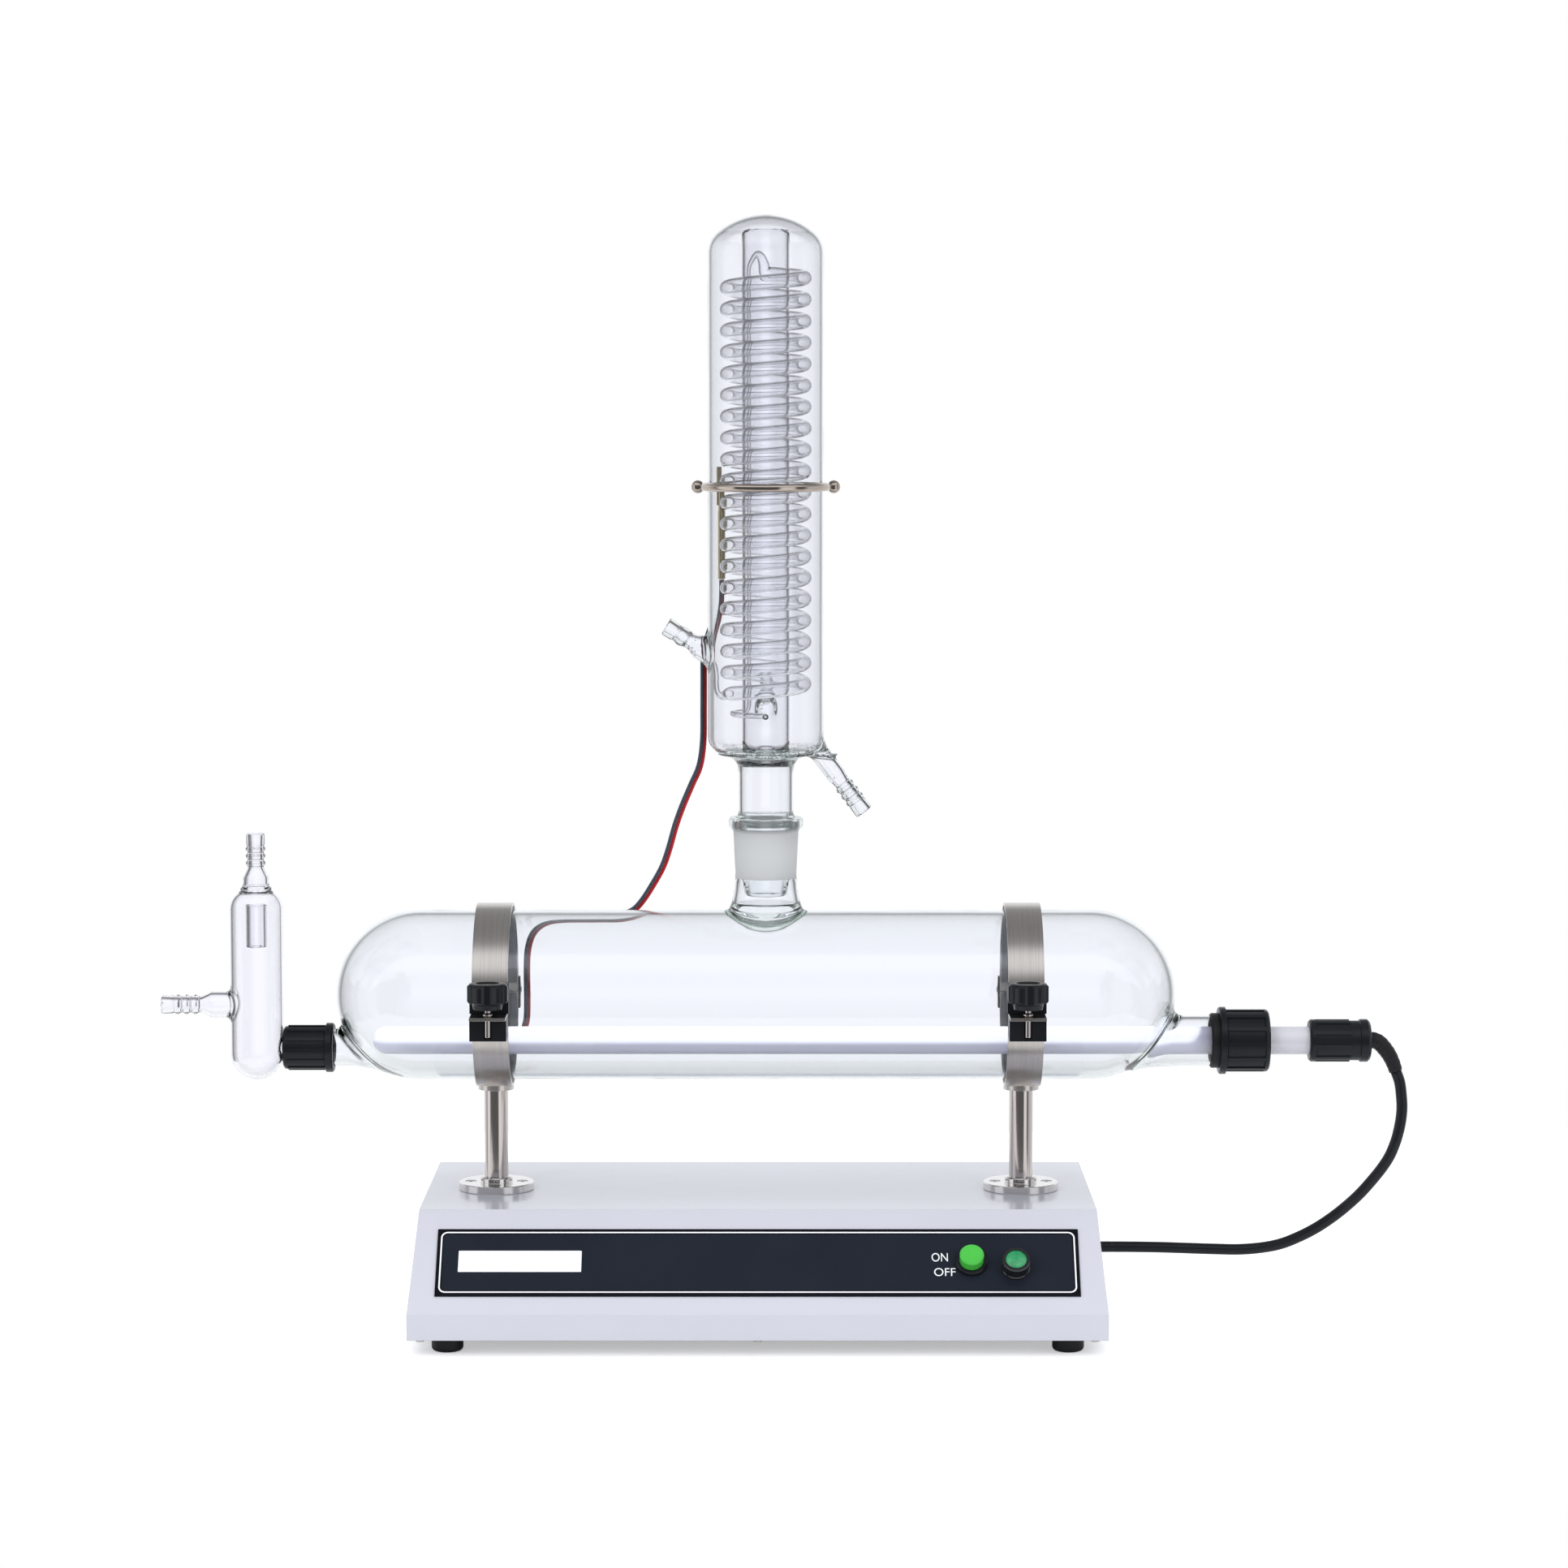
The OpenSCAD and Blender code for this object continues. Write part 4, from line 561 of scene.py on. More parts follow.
def quartz(low, high, glow_end):
    """Milky quartz with faint drawing lines and painted light: an emission glow along its length up to
    glow_end, painted brighter on top and darker below.
    """
    m = Nodes("milky_quartz")
    v = m.mapped(scale=(6, 700, 700))
    lines = m.noise(v, 1.0, 3, 0.6)
    m.link(m.ramp(lines, [(0.3, (0.80, 0.80, 0.86)), (0.7, (0.88, 0.88, 0.94))]),
           m.bsdf.inputs["Base Color"])
    m.link(m.span(m.noise(m.mapped(), 80, 3), 0.10, 0.2), m.bsdf.inputs["Roughness"])
    m.link(m.bump(lines, 0.05, 0.0003), m.bsdf.inputs["Normal"])
    # painted light: Emission_Strength makes the tube glow, though it is no lamp
    m.set(Transmission_Weight=0.35, IOR=1.46, Emission_Strength=0.62)
    sep = m.add("ShaderNodeSeparateXYZ")
    m.link(m.coord.outputs["Object"], sep.inputs[0])
    # painted shade: the glow rises from the tube's bottom to its top, lighter on top as if lit from above
    up = m.add("ShaderNodeMapRange")
    up.inputs["From Min"].default_value = low
    up.inputs["From Max"].default_value = high
    m.link(sep.outputs["Z"], up.inputs["Value"])
    # the painted glow fades out just past this x
    glow_span = m.add("ShaderNodeMapRange", interpolation_type="SMOOTHSTEP")
    glow_span.inputs["From Min"].default_value = glow_end + 0.02
    glow_span.inputs["From Max"].default_value = glow_end
    m.link(sep.outputs["X"], glow_span.inputs["Value"])
    lit = m.add("ShaderNodeMath", operation="MULTIPLY")
    m.link(up.outputs["Result"], lit.inputs[0])
    m.link(glow_span.outputs["Result"], lit.inputs[1])
    # painted light and shade in the emission colour: near black at the bottom, pale on top
    m.link(m.ramp(lit.outputs[0], [(0.0, (0.01, 0.01, 0.012)), (0.14, (0.12, 0.12, 0.16)),
                                   (0.42, (0.22, 0.23, 0.29)), (0.56, (0.74, 0.75, 0.83)),
                                   (1.0, (0.82, 0.83, 0.90))]),
           m.bsdf.inputs["Emission Color"])
    return m.mat


def lens_material():
    m = Nodes("lamp_lens")
    v = m.mapped()
    m.link(m.ramp(m.noise(v, 240, 3), [(0.3, (0.02, 0.30, 0.10)), (0.7, (0.05, 0.46, 0.18))]),
           m.bsdf.inputs["Base Color"])
    m.link(m.span(m.noise(v, 100, 2), 0.08, 0.14), m.bsdf.inputs["Roughness"])
    m.set(Transmission_Weight=0.25, IOR=1.5, Coat_Weight=0.5, Coat_Roughness=0.05)
    return m.mat


MAT["silicone"] = silicone()
QUARTZ_LOW, QUARTZ_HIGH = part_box("heater_tube")
MAT["quartz"] = quartz(QUARTZ_LOW.z, QUARTZ_HIGH.z, glow_end=0.285)
MAT["lens"] = lens_material()

NODE_MAT = {
    "base_housing": "housing", "bottom_plate": "plate", "bottom_screws": "screw", "feet": "rubber",
    "foot_screws": "screw", "front_panel": "panel", "button_bezel": "black", "push_button": "green",
    "switch_body": "black", "lamp_bezel": "lamp_ring", "lamp_lens": "lens", "panel_nuts": "screw",
    "mains_inlet": "black", "inlet_pins": "brass", "inlet_screws": "screw",
    "terminal_block": "cream", "power_relay": "relay", "cable_grommet": "rubber",
    "wire_grommet": "rubber", "post_left": "bright", "post_right": "bright",
    "post_flanges": "flange", "flange_screws": "screw", "backing_plates": "sheet",
    "lower_band_left": "band", "lower_band_right": "band", "upper_band_left": "band",
    "upper_band_right": "band", "lower_liners": "silicone", "upper_liner_left": "silicone",
    "upper_liner_right": "silicone", "lower_blocks": "black", "upper_blocks_left": "black",
    "upper_blocks_right": "black", "hinge_pins": "screw", "knob_left": "knob",
    "knob_right": "knob", "stud_left": "bright", "stud_right": "bright", "left_cap": "black",
    "left_seal": "red_rubber", "heater_core": "ceramic", "heater_nut": "black",
    "heater_washer": "rubber", "heater_seal": "red_rubber", "heater_end_cap": "black",
    "clip_front": "ring", "clip_back": "ring", "thermostat": "brass",
}
for name, key in NODE_MAT.items():
    for surface in nodes[name].material_slots:
        surface.material = MAT[key]


def dress(obj, material, body, *replaced, slot=None):
    obj.data.materials.clear()
    obj.data.materials.append(MAT[material])
    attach(obj, body)
    if replaced:
        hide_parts(*replaced)
    return obj


# ---------------------------------------------------------------- sizes shared with the CAD
AXIS_Y = 14.0
BOILER_Z = 220.5
BOILER_L, BOILER_R, R_B, WALL_B = -291.1, 277.1, 57.2, 3.0
ARM_L_Z, HEATER_Z = 184.1, 188.9
JACKET_Z, JACKET_TOP, R_J = 381.1, 745.6, 39.0
LEV_X, LEV_Z, LEV_TOP, R_LEV = -345.3, 162.7, 292.6, 17.75


def port_tables(l, root_d, root_l, bulges=3, bore=3.7, wall=1.9, deep=8.0):
    """Outer and inner radius of a hose port along its axis, with rounded bulges."""
    r = 6.3
    step = (l - root_l - 6 - 8) / bulges
    out = [(-2, root_d / 2), (root_l - 2, root_d / 2), (root_l + 5, r - 0.9)]
    for i in range(bulges):
        z = root_l + 6 + i * step
        out += [(z + step * 0.12, r - 0.8), (z + step * 0.42, r + 0.45), (z + step * 0.62, r + 0.45),
                (z + step * 0.9, r - 0.8)]
    out += [(l - 8.2, r - 0.5), (l - 7.2, r), (l - 0.6, r), (l, r - 0.35)]
    inner = [(-deep, root_d / 2 - wall), (root_l - 2, root_d / 2 - wall), (root_l + 5, bore),
             (l - 8, bore), (l + 3, bore + 0.5)]
    return out, inner


# ---------------------------------------------------------------- boiler
def boiler_field():
    neck_out = Turned((0, AXIS_Y, 0), (0, 0, 1), [
        (262, 32.5), (266, 32.2), (269, 31.0), (273, 28.2), (278, 25.4), (284, 23.0), (291, 21.6),
        (298, 21.2), (300, 20.8), (303, 20.6), (332, 22.0), (333, 22.4), (334.6, 24.6), (336, 25.1),
        (339.6, 25.1), (341.1, 24.4)], soften=1.2)
    neck_in = Turned((0, AXIS_Y, 0), (0, 0, 1), [
        (240, 26.0), (258, 25.0), (263, 18.0), (267, 15.6), (270, 15.8), (274, 18.6), (278, 21.0),
        (283, 20.8), (290, 19.4), (297, 18.7), (301, 18.3), (303.1, 18.15), (341.1, 20.05),
        (346, 20.3)], soften=1.2)
    left_out = Turned((-320.2, AXIS_Y, ARM_L_Z), (1, 0, 0), [(0, 12.2), (40, 12.2), (66, 13.5)], 2)
    left_in = Turned((-320.2, AXIS_Y, ARM_L_Z), (1, 0, 0), [(-4, 10.0), (64, 10.0), (84, 11.0)], 2)
    right_out = Turned((321.1, AXIS_Y, HEATER_Z), (-1, 0, 0), [(0, 17.0), (40, 17.0), (70, 18.5)], 2)
    right_in = Turned((321.1, AXIS_Y, HEATER_Z), (-1, 0, 0), [(-4, 14.8), (66, 14.8), (88, 16.0)], 2)
    x0, x1 = BOILER_L + R_B, BOILER_R - R_B

    def capsule(p, r):
        x = np.clip(p[:, 0], x0, x1)
        return np.sqrt((p[:, 0] - x) ** 2 + (p[:, 1] - AXIS_Y) ** 2
                       + (p[:, 2] - BOILER_Z) ** 2) - r

    def field(p):
        body = capsule(p, R_B)
        outer = smooth_min(body, neck_out(p), 2.5)
        outer = smooth_min(outer, left_out(p), 9)
        outer = smooth_min(outer, right_out(p), 9)
        inner = capsule(p, R_B - WALL_B)
        inner = smooth_min(inner, neck_in(p), 1.5)
        inner = smooth_min(inner, left_in(p), 5)
        inner = smooth_min(inner, right_in(p), 5)
        return smooth_max(outer, -inner, 0.5)

    return field


pos, faces, normals = surface_nets(
    boiler_field(),
    steps_between((-324, -230, 1.5), (-230, -38, 6.0), (-38, 38, 1.2), (38, 216, 6.0), (216, 325, 1.5)),
    steps_between((-46, 74, 1.35)),
    steps_between((160, 256, 1.4), (256, 300, 1.0), (300, 345, 0.9)))
dress(link_mesh("boiler_glass", pos, faces, normals=normals), "joint", "stand", "boiler", slot="glass")


# ---------------------------------------------------------------- condenser jacket
def direction(angle, tilt):
    a, t = math.radians(angle), math.radians(tilt)
    return (math.sin(t) * math.cos(a), math.sin(t) * math.sin(a), math.cos(t))


def jacket_profile(t):
    """Radius against height of the jacket drawn in by t, from its floor to the dome's top."""
    k, dome = 18.0, 25.5
    kx, kz = R_J - k, JACKET_TOP - dome
    h = dome - k
    d = (kx * kx - h * h) / (2 * h)
    crown = dome + d
    bend = math.degrees(math.atan2(d, kx))
    low = [(z, r) for r, z in arc(R_J - 12, JACKET_Z + 15, 12 - t, -88, 0, 14)]
    side = [(z, r) for r, z in arc(kx, kz, k - t, 0, bend, 16)]
    top = [(z, r) for r, z in arc(0, kz - d, crown - t, bend, 89.6, 24)]
    return low + side + top[1:]


def condenser_field():
    body = jacket_profile(0)
    body = [(body[0][0] - 0.05, 0.1)] + body
    outer_j = Turned((0, AXIS_Y, 0), (0, 0, 1), body, 0.3)
    inner_j = Turned((0, AXIS_Y, 0), (0, 0, 1),
                     [(jacket_profile(2.3)[0][0] - 0.05, 0.1)] + jacket_profile(2.3), 0.3)
    neck_out = Turned((0, AXIS_Y, 0), (0, 0, 1), [
        (288.1, 13.2), (290, 14.4), (296, 15.2), (302.6, 17.6), (303.1, 18.0), (341.1, 19.85), (342.6, 19.3),
        (344.6, 18.5), (372, 18.5), (377, 19.2), (381, 22.0), (384, 26.5), (387, 30)], 1.0)
    neck_in = Turned((0, AXIS_Y, 0), (0, 0, 1), [
        (280, 11.4), (288.1, 11.4), (296, 12.8), (303.1, 15.8), (341, 16.4), (372, 16.4), (380, 16.4),
        (388, 16.3), (396, 16.3)], 1.0)
    ports_out, ports_in = [], []
    for angle, z, tilt, r0, l, root_d, root_l, bulges in (
            (180, 450.1, 58.6, 34.0, 39.0, 16.5, 14.0, 1), (90, 408.1, 58.6, 34.0, 39.0, 16.5, 14.0, 1),
            (0, 393.1, 142.9, 30.0, 60.5, 13.0, 30.0, 3)):
        a = math.radians(angle)
        o = (r0 * math.cos(a), AXIS_Y + r0 * math.sin(a), z)
        d = direction(0, tilt) if angle == 0 else (
            math.sin(math.radians(tilt)) * math.cos(a), math.sin(math.radians(tilt)) * math.sin(a),
            math.cos(math.radians(tilt)))
        out, inner = port_tables(l, root_d, root_l, bulges)
        ports_out.append(Turned(o, d, out, 1.0))
        ports_in.append(Turned(o, d, inner, 1.0))

    def field(p):
        outer = smooth_min(outer_j(p), neck_out(p), 5)
        inner = inner_j(p)
        bore = neck_in(p)
        for f in ports_out:
            outer = smooth_min(outer, f(p), 5)
        for f in ports_in:
            inner = smooth_min(inner, f(p), 2.5)
        wall = smooth_max(outer, -inner, 0.5)
        return smooth_max(wall, -bore, 0.5)

    return field


pos, faces, normals = surface_nets(
    condenser_field(),
    steps_between((-73, 74, 1.15)),
    steps_between((-27, 88, 1.15)),
    steps_between((286, 300, 1.1), (300, 338, 2.4), (338, 480, 1.15), (480, 712, 8.0), (712, 748, 1.15)))
dress(link_mesh("condenser_glass", pos, faces, normals=normals), "joint", "stand", "condenser_jacket",
      slot="glass")

# ---------------------------------------------------------------- steam tube
zs = [384 + i * 10 for i in range(35)]
outer = [(16.0, z) for z in zs] + arc(15.2, 734.3, 0.8, 0, 180, 6)
inner = [(14.4, z) for z in reversed(zs)]
v, f = revolve(outer + inner, 96)
v[:, 1] += AXIS_Y
dress(link_mesh("steam_tube_glass", v, f), "glass", "stand", "steam_tube", slot="glass")


# ---------------------------------------------------------------- coil
def coil_path():
    turns_n, coil_r, tube, pitch = 20, 26.0, 5.0, 14.3
    steam_r, jacket_in = 16.0, R_J - 2.5
    tail = 1.9
    coil_z = JACKET_Z + 43.7
    leg_r = (steam_r + coil_r - tube) / 2
    tail_r = (jacket_in + coil_r + tube) / 2
    wall_r = jacket_in - 0.3
    port_left_z = JACKET_Z + 69
    coil_end = 180 + 360 * turns_n - 90
    coil_top = coil_z + pitch * (turns_n - 0.25)
    start = [(177, wall_r, port_left_z - 4, tail), (177, tail_r + 1, port_left_z - 7, tail),
             (178, tail_r, port_left_z - 13, tail), (178, tail_r, coil_z + 6, tail),
             (177, tail_r - 1, coil_z + 1, tail), (178, tail_r - 4, coil_z - 1.4, tail + 0.8)]
    turns = [(a, coil_r, coil_z + pitch * (a - 180) / 360, tube - 1 if a < 200 else tube)
             for a in range(180, coil_end + 1, 15)]
    arch = []
    for s in range(1, 7):
        k = s / 6
        arch.append((coil_end + 45 * (k - 0.18 * math.sin(math.pi * k)),
                     coil_r + (leg_r - coil_r) * k * k * (3 - 2 * k),
                     coil_top + 12.5 * math.sin(math.radians(165 * k)),
                     tube + (tail - tube) * min(1, k * 1.4)))
    leg_low = coil_z - tube - 4
    leg = []
    z = coil_top - 6
    while z >= leg_low + 6:
        leg.append((coil_end + 45, leg_r, z, tail))
        z -= pitch
    hook = [(coil_end + 45, leg_r, leg_low + 1, tail), (coil_end + 50, leg_r + 1, leg_low - 3, tail)]
    hook += [(coil_end + 45 + a, leg_r + 1 + a * 0.06, leg_low - 4, tail) for a in range(15, 121, 15)]
    hook += [(coil_end + 178, tail_r - 4, leg_low - 4, tail), (coil_end + 180, wall_r, leg_low - 4, tail)]
    return start + turns + arch + leg + hook


polar = np.array(coil_path())
fine = spline(polar, 3)
ang = np.radians(fine[:, 0])
centre = np.stack([fine[:, 1] * np.cos(ang), AXIS_Y + fine[:, 1] * np.sin(ang), fine[:, 2]], axis=1)
radii = np.clip(fine[:, 3], 1.9, 5.0)
vo, fo = sweep(centre, radii, 14, (0, 0, 1), cap=True)
vi, fi = sweep(centre, np.maximum(radii - 0.95, 1.0), 12, (0, 0, 1), cap=True)
fi = [tuple(i + len(vo) for i in q[::-1]) for q in fi]
dress(link_mesh("coil_glass", np.vstack([vo, vi]), fo + fi), "coil", "stand", "condenser_coil",
      slot="glass")


# ---------------------------------------------------------------- level device
def leveller_field():
    body_out = Turned((LEV_X, AXIS_Y, 0), (0, 0, 1),
                      [(LEV_Z - 0.05, 0.1)] + [(z, r) for r, z in arc(0, LEV_Z + R_LEV, R_LEV, -89, 0, 24)]
                      + [(z, r) for r, z in arc(R_LEV - 14, LEV_TOP - 14, 14, 0, 88, 18)]
                      + [(LEV_TOP, 0.1)], 0.3)
    w = 1.7
    body_in = Turned((LEV_X, AXIS_Y, 0), (0, 0, 1),
                     [(LEV_Z + w - 0.05, 0.1)]
                     + [(z, r) for r, z in arc(0, LEV_Z + R_LEV, R_LEV - w, -89, 0, 24)]
                     + [(z, r) for r, z in arc(R_LEV - 14, LEV_TOP - 14, 14 - w, 0, 88, 18)]
                     + [(LEV_TOP - w, 0.1)], 0.3)
    top_o, top_i = port_tables(40.6, 17.5, 12)
    side_o, side_i = port_tables(49.9, 17.6, 18)
    top_out = Turned((LEV_X, AXIS_Y, LEV_TOP - 3), (0, 0, 1), top_o, 1.0)
    side_out = Turned((LEV_X - R_LEV + 3, AXIS_Y, 213.6), (-1, 0, 0), side_o, 1.0)
    top_in = Turned((LEV_X, AXIS_Y, LEV_TOP - 3), (0, 0, 1), top_i, 1.0)
    side_in = Turned((LEV_X - R_LEV + 3, AXIS_Y, 213.6), (-1, 0, 0), side_i, 1.0)
    stub_out = Turned((LEV_X + R_LEV - 3, AXIS_Y, ARM_L_Z), (1, 0, 0),
                      [(0, 7.4), (3, 6.6), (8, 6.0), (24, 6.0)], 1.5)
    stub_in = Turned((LEV_X + R_LEV - 8, AXIS_Y, ARM_L_Z), (1, 0, 0), [(0, 4.4), (34, 4.4)], 1.0)
    dip_out = Turned((LEV_X, AXIS_Y, 252.9), (0, 0, 1), [(0, 6.7), (0.8, 7.0), (38, 7.0)], 0.5)
    dip_in = Turned((LEV_X, AXIS_Y, 251.0), (0, 0, 1), [(0, 5.3), (44, 5.3)], 0.5)

    def field(p):
        outer = smooth_min(smooth_min(body_out(p), top_out(p), 4), side_out(p), 4)
        outer = smooth_min(outer, stub_out(p), 3)
        inner = smooth_max(body_in(p), -dip_out(p), 0.8)
        wall = smooth_max(outer, -inner, 0.5)
        for f in (top_in, side_in, stub_in, dip_in):
            wall = smooth_max(wall, -f(p), 0.5)
        return wall

    return field


pos, faces, normals = surface_nets(
    leveller_field(),
    steps_between((-412, -304, 0.85)),
    steps_between((-5, 33, 0.85)),
    steps_between((160, 224, 0.85), (224, 250, 2.0), (250, 333, 0.85)))
dress(link_mesh("leveller_glass", pos, faces, normals=normals), "glass", "stand", "leveller",
      slot="glass")

# ---------------------------------------------------------------- heater
r = 9.5
length = 378.5 + 267.1
outer = [(0.0, 0.0)] + [(a, b) for a, b in arc(0, r, r, -86, 0, 14)] + [
    (r, 10 + i * 24) for i in range(1, 27)] + [(r, length)]
inner = [(r - 1.6, length)] + [(r - 1.6, 10 + i * 24) for i in range(26, 0, -1)] + [
    (a, b) for a, b in arc(0, r, r - 1.6, 0, -84, 14)] + [(0.0, 1.6)]
v, f = revolve(outer + inner, 72, closed=False)
v = place(v, (-267.1, AXIS_Y, HEATER_Z), (1, 0, 0))
dress(link_mesh("quartz_tube", v, f), "quartz", "stand", "heater_tube", slot="quartz")

# ---------------------------------------------------------------- cords
path = spline(CABLE_ROUTE, 5)
v, f = sweep(path, [CABLE_D / 2] * len(path), 20, (0, 1, 0))
cable = dress(link_mesh("cable", v, f), "cable", "stand", "heater_cable", slot="cable_black")
length = float(np.linalg.norm(np.diff(path, axis=0), axis=1).sum()) * MM
boot_path = spline(BOOT_ROUTE, 6)
br = np.interp(np.linspace(0, 6, len(boot_path)), range(7), [5.6, 5.6, 5.5, 5.4, 5.2, 4.9, 4.6])
br = br - 0.18 * (0.5 + 0.5 * np.cos(np.linspace(0, 6, len(boot_path)) * 2 * math.pi * 1.5)) * (
    np.linspace(0, 6, len(boot_path)) > 1)
v, f = sweep(boot_path, br, 28, (0, 1, 0))
boot = dress(link_mesh("boot", v, f), "rubber", "stand", "cable_boot", slot="black_rubber")
for name, route, key, slot in (("wire_red_lead", WIRE_ROUTE, "wire_red", "wire_red"),
                               ("wire_dark_lead", WIRE_ROUTE_2, "wire_dark", "wire_dark")):
    path = spline(route, 4)
    v, f = sweep(path, [WIRE_D / 2] * len(path), 12, (1, 0, 0))
    wire = dress(link_mesh(name, v, f), key, "stand", key, slot=slot)

# ---------------------------------------------------------------- panel print
SLOPE = math.atan2(59, 57.5)
SLOPE_M = Matrix.Translation((-0.005, -0.1195, 0.028)) @ Matrix.Rotation(SLOPE, 4, "X")
PANEL_T = 1.0


def on_panel(verts):
    out = []
    for v in verts:
        w = SLOPE_M @ (Vector(v) * MM)
        out.append((w.x / MM, w.y / MM, w.z / MM))
    return np.array(out)


def rounded_rect(w, h, r, n=8):
    pts = []
    for cx, cy, a in ((w / 2 - r, h / 2 - r, 0), (-w / 2 + r, h / 2 - r, 90),
                      (-w / 2 + r, -h / 2 + r, 180), (w / 2 - r, -h / 2 + r, 270)):
        pts += arc(cx, cy, r, a, a + 90, n)
    return pts


def slab_ring(name, outer, inner, z0, z1, cy):
    n = len(outer)
    verts = []
    for pts, z in ((outer, z0), (outer, z1), (inner, z1), (inner, z0)):
        verts += [(x, y + cy, z) for x, y in pts]
    faces = []
    for ring in range(4):
        a, b = ring * n, ((ring + 1) % 4) * n
        for k in range(n):
            k2 = (k + 1) % n
            faces.append((a + k, a + k2, b + k2, b + k))
    return link_mesh(name, on_panel(verts), faces, smooth=False)


o = slab_ring("panel_line", rounded_rect(418.5, 47.4, 4.5), rounded_rect(416.5, 45.4, 3.6),
              PANEL_T - 0.01, PANEL_T + 0.05, 40.2)
dress(o, "print", "stand", slot="light_grey_paint")
# near-black rings on the panel, darker than its face: one along the outer edge, one just inside the white
# line
for name, outer, inner in (("panel_margin", rounded_rect(423.0, 52.0, 1.0), rounded_rect(418.9, 47.8, 4.7)),
                           ("panel_inset", rounded_rect(416.1, 45.0, 3.4), rounded_rect(414.6, 43.5, 2.7))):
    o = slab_ring(name, outer, inner, PANEL_T - 0.01, PANEL_T + 0.03, 40.1)
    dress(o, "ink", "stand", slot="panel_black")


def plate(name, w, h, r, z0, z1, cx, cy):
    pts = rounded_rect(w, h, r, 4)
    n = len(pts)
    verts = [(x + cx, y + cy, z0) for x, y in pts] + [(x + cx, y + cy, z1) for x, y in pts]
    faces = [tuple(range(n))[::-1], tuple(range(n, 2 * n))]
    faces += [(k, (k + 1) % n, n + (k + 1) % n, n + k) for k in range(n)]
    return link_mesh(name, on_panel(verts), faces, smooth=False)


o = plate("bare_plate", 81.0, 16.4, 0.4, PANEL_T - 0.01, PANEL_T + 0.35, -156.5, 40.7)
dress(o, "print", "stand", slot="light_grey_paint")

for word, x0, x1, s0, s1 in (("ON", 114.4, 125.1, 40.7, 47.3), ("OFF", 115.8, 129.9, 29.4, 35.6)):
    cu = bpy.data.curves.new("text_" + word, "FONT")
    cu.body = word
    cu.size = 1.0
    cu.extrude = 0.01
    t = bpy.data.objects.new("text_" + word, cu)
    scene.collection.objects.link(t)
    bpy.context.view_layer.update()
    dg = bpy.context.evaluated_depsgraph_get()
    me = bpy.data.meshes.new_from_object(t.evaluated_get(dg))
    bpy.data.objects.remove(t)
    c = np.array([v.co[:] for v in me.vertices])
    lo, hi = c.min(axis=0), c.max(axis=0)
    for i, v in enumerate(me.vertices):
        x = x0 + (c[i, 0] - lo[0]) / (hi[0] - lo[0]) * (x1 - x0)
        y = s0 + (c[i, 1] - lo[1]) / (hi[1] - lo[1]) * (s1 - s0)
        z = PANEL_T + (0.06 if c[i, 2] > (lo[2] + hi[2]) / 2 else -0.01)
        v.co = SLOPE_M @ Vector((x * MM, y * MM, z * MM))
    o = bpy.data.objects.new("lettering_" + word, me)
    scene.collection.objects.link(o)
    dress(o, "print", "stand", slot="light_grey_paint")

# ---------------------------------------------------------------- floor and light
# a table top that ends behind the object, so that what glass bends is the room past it
FLOOR_X = 0.72
FLOOR_FRONT = 0.5
FLOOR_BACK = 0.75
floor_me = bpy.data.meshes.new("floor")
floor_me.from_pydata([(-FLOOR_X, -FLOOR_FRONT, 0), (FLOOR_X, -FLOOR_FRONT, 0),
                      (FLOOR_X, FLOOR_BACK, 0), (-FLOOR_X, FLOOR_BACK, 0)], [], [(0, 1, 2, 3)])
floor = bpy.data.objects.new("floor", floor_me)
scene.collection.objects.link(floor)
fm = Nodes("floor_white")
fm.link(fm.ramp(fm.noise(fm.mapped(), 3, 3), [(0.3, (0.83, 0.83, 0.84)), (0.7, (0.85, 0.85, 0.86))]),
        fm.bsdf.inputs["Base Color"])
fm.set(Roughness=0.9)
shown = fm.add("ShaderNodeLightPath")
lift = fm.add("ShaderNodeMath", operation="MULTIPLY")
lift.inputs[1].default_value = 0.42
fm.link(shown.outputs["Is Camera Ray"], lift.inputs[0])
fm.link(lift.outputs[0], fm.bsdf.inputs["Emission Strength"])
fm.bsdf.inputs["Emission Color"].default_value = (1, 1, 1, 1)
floor.data.materials.append(fm.mat)

world = bpy.data.worlds.new("world")
scene.world = world
world.use_nodes = True
wt = world.node_tree
wt.nodes.clear()
wo = wt.nodes.new("ShaderNodeOutputWorld")
tc = wt.nodes.new("ShaderNodeTexCoord")
sp = wt.nodes.new("ShaderNodeSeparateXYZ")
wt.links.new(tc.outputs["Generated"], sp.inputs[0])
lp = wt.nodes.new("ShaderNodeLightPath")


def world_ramp(value, stops):
    r = wt.nodes.new("ShaderNodeValToRGB")
    e = r.color_ramp.elements
    e[0].position, e[0].color = stops[0][0], (*stops[0][1], 1)
    e[1].position, e[1].color = stops[-1][0], (*stops[-1][1], 1)
    for at, c in stops[1:-1]:
        k = e.new(at)
        k.color = (*c, 1)
    wt.links.new(value, r.inputs["Fac"])
    return r.outputs["Color"]


def background(colour, strength=1.0):
    b = wt.nodes.new("ShaderNodeBackground")
    b.inputs["Strength"].default_value = strength
    if isinstance(colour, tuple):
        b.inputs["Color"].default_value = (*colour, 1)
    else:
        wt.links.new(colour, b.inputs["Color"])
    return b.outputs[0]


def either(fac, a, b):
    m = wt.nodes.new("ShaderNodeMixShader")
    wt.links.new(fac, m.inputs[0])
    wt.links.new(a, m.inputs[1])
    wt.links.new(b, m.inputs[2])
    return m.outputs[0]


def world_math(operation, a, b=None):
    m = wt.nodes.new("ShaderNodeMath")
    m.operation = operation
    for slot_in, value in zip(m.inputs, (a, b)):
        if value is None:
            continue
        if isinstance(value, (int, float)):
            slot_in.default_value = value
        else:
            wt.links.new(value, slot_in)
    return m.outputs[0]


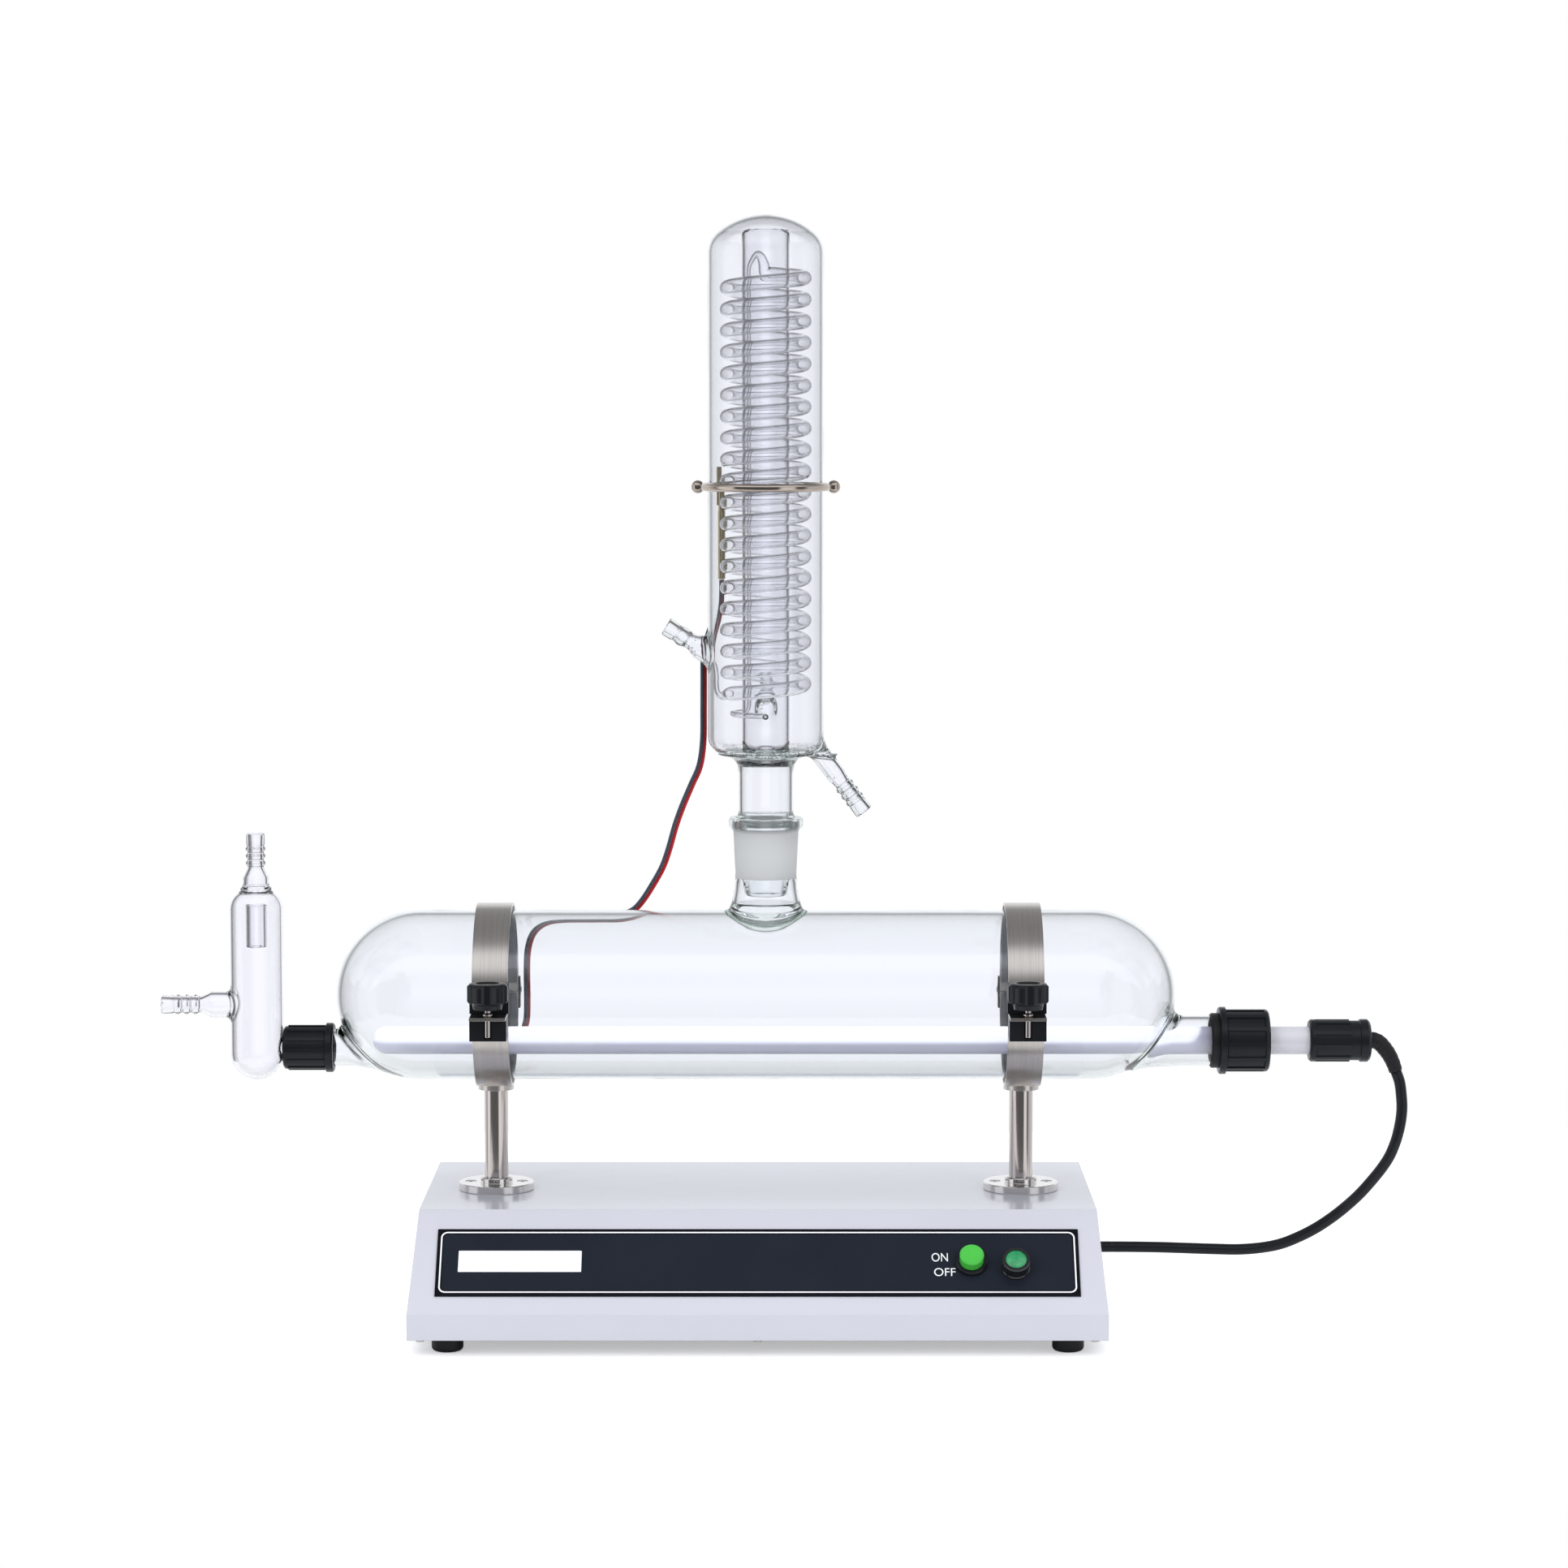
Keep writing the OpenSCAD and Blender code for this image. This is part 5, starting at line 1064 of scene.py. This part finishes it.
def world_mix(fac, a, b, blend="MIX"):
    m = wt.nodes.new("ShaderNodeMix")
    m.data_type = "RGBA"
    m.blend_type = blend
    if isinstance(fac, (int, float)):
        m.inputs[0].default_value = fac
    else:
        wt.links.new(fac, m.inputs[0])
    wt.links.new(a, m.inputs[6])
    wt.links.new(b, m.inputs[7])
    return m.outputs[2]


def grey(v, cool=0.06):
    return (v, v * (1 + cool * 0.3), v * (1 + cool))


# what glass bends towards: bright before and behind it, dark on both sides, above and below
def lavender(v):
    return (v, v * 0.988, v * 1.035)


def halved(value):
    """Brings a direction's share, from -1 to 1, to a ramp's 0 to 1."""
    out = world_math("MULTIPLY_ADD", value, 0.5)
    out.node.inputs[2].default_value = 0.5
    return out


across = world_ramp(world_math("ABSOLUTE", sp.outputs["X"]), [
    (0.0, lavender(1)), (0.25, lavender(1)), (0.42, lavender(0.42)), (0.62, lavender(0.12)),
    (1.0, lavender(0.18))])
rise = world_ramp(halved(sp.outputs["Z"]), [((z + 1) / 2, grey(v, 0.02)) for z, v in (
    (-1, 0.30), (-0.50, 0.28), (-0.26, 1), (0.0, 1), (0.12, 0.97), (0.26, 0.60), (0.42, 0.26),
    (0.75, 0.20), (1, 0.42))])
seen_through = background(world_mix(1.0, across, rise, "MULTIPLY"), 1.03)

# what metal and paint mirror: two upright soft boxes, one above the front, a dark room between
turn = world_math("ARCTAN2", sp.outputs["X"], world_math("MULTIPLY", sp.outputs["Y"], -1.0))
turn = halved(world_math("MULTIPLY", turn, 1 / math.pi))
around = world_ramp(turn, [((a + 180) / 360, grey(v)) for a, v in (
    (-180, 0.92), (-118, 0.85), (-98, 0.30), (-88, 1.0), (-62, 1.0), (-54, 0.14), (-20, 0.12),
    (22, 0.12), (30, 1.0), (50, 1.0), (58, 0.16), (72, 0.18), (82, 0.75), (112, 0.70),
    (128, 0.85), (180, 0.92))])
over_front = world_ramp(sp.outputs["Z"], [(0.0, grey(0.30)), (0.50, grey(0.35)), (0.62, grey(1)),
                                          (0.86, grey(1)), (0.95, grey(0.30)), (1.0, grey(0.26))])
over_back = world_ramp(sp.outputs["Z"], [(0.0, grey(0.80)), (0.35, grey(0.70)), (0.60, grey(0.34)),
                                         (1.0, grey(0.26))])
side = world_ramp(halved(world_math("MULTIPLY", sp.outputs["Y"], 4.0)), [(0.0, grey(0, 0)), (1.0, (1, 1, 1))])
over = world_mix(side, over_front, over_back)
level = world_ramp(sp.outputs["Z"], [(0.0, grey(0, 0)), (0.32, grey(0, 0)), (0.52, (1, 1, 1)),
                                     (1.0, (1, 1, 1))])
mirrored = background(world_mix(level, around, over), 1.1)

even = background((0.97, 0.98, 1.0), 0.95)
white = background((1.0, 1.0, 1.0), 1.0)
other = either(lp.outputs["Is Diffuse Ray"],
               either(lp.outputs["Is Transmission Ray"], mirrored, seen_through), even)
wt.links.new(either(lp.outputs["Is Camera Ray"], other, white), wo.inputs["Surface"])


def area(name, place_at, target, size, power, colour=(1, 1, 1)):
    li = bpy.data.lights.new(name, "AREA")
    li.shape = "RECTANGLE"
    li.size, li.size_y = size
    li.energy = power
    li.color = colour
    o = bpy.data.objects.new(name, li)
    o.location = place_at
    d = Vector(target) - Vector(place_at)
    o.rotation_euler = d.to_track_quat("-Z", "Y").to_euler()
    o.visible_glossy = False
    o.visible_transmission = False
    scene.collection.objects.link(o)


area("key", (-1.3, -1.9, 1.6), (0, 0, 0.3), (0.5, 1.6), 14)
area("fill", (1.5, -1.7, 1.3), (0, 0, 0.3), (0.4, 1.6), 8)
area("top", (0, 0.2, 2.6), (0, 0, 0.2), (2.6, 1.4), 14)

scene.view_settings.view_transform = "Standard"
scene.view_settings.look = "None"
scene.cycles.max_bounces = 28
scene.cycles.transmission_bounces = 28
scene.cycles.transparent_max_bounces = 16
scene.cycles.glossy_bounces = 8
scene.cycles.diffuse_bounces = 4
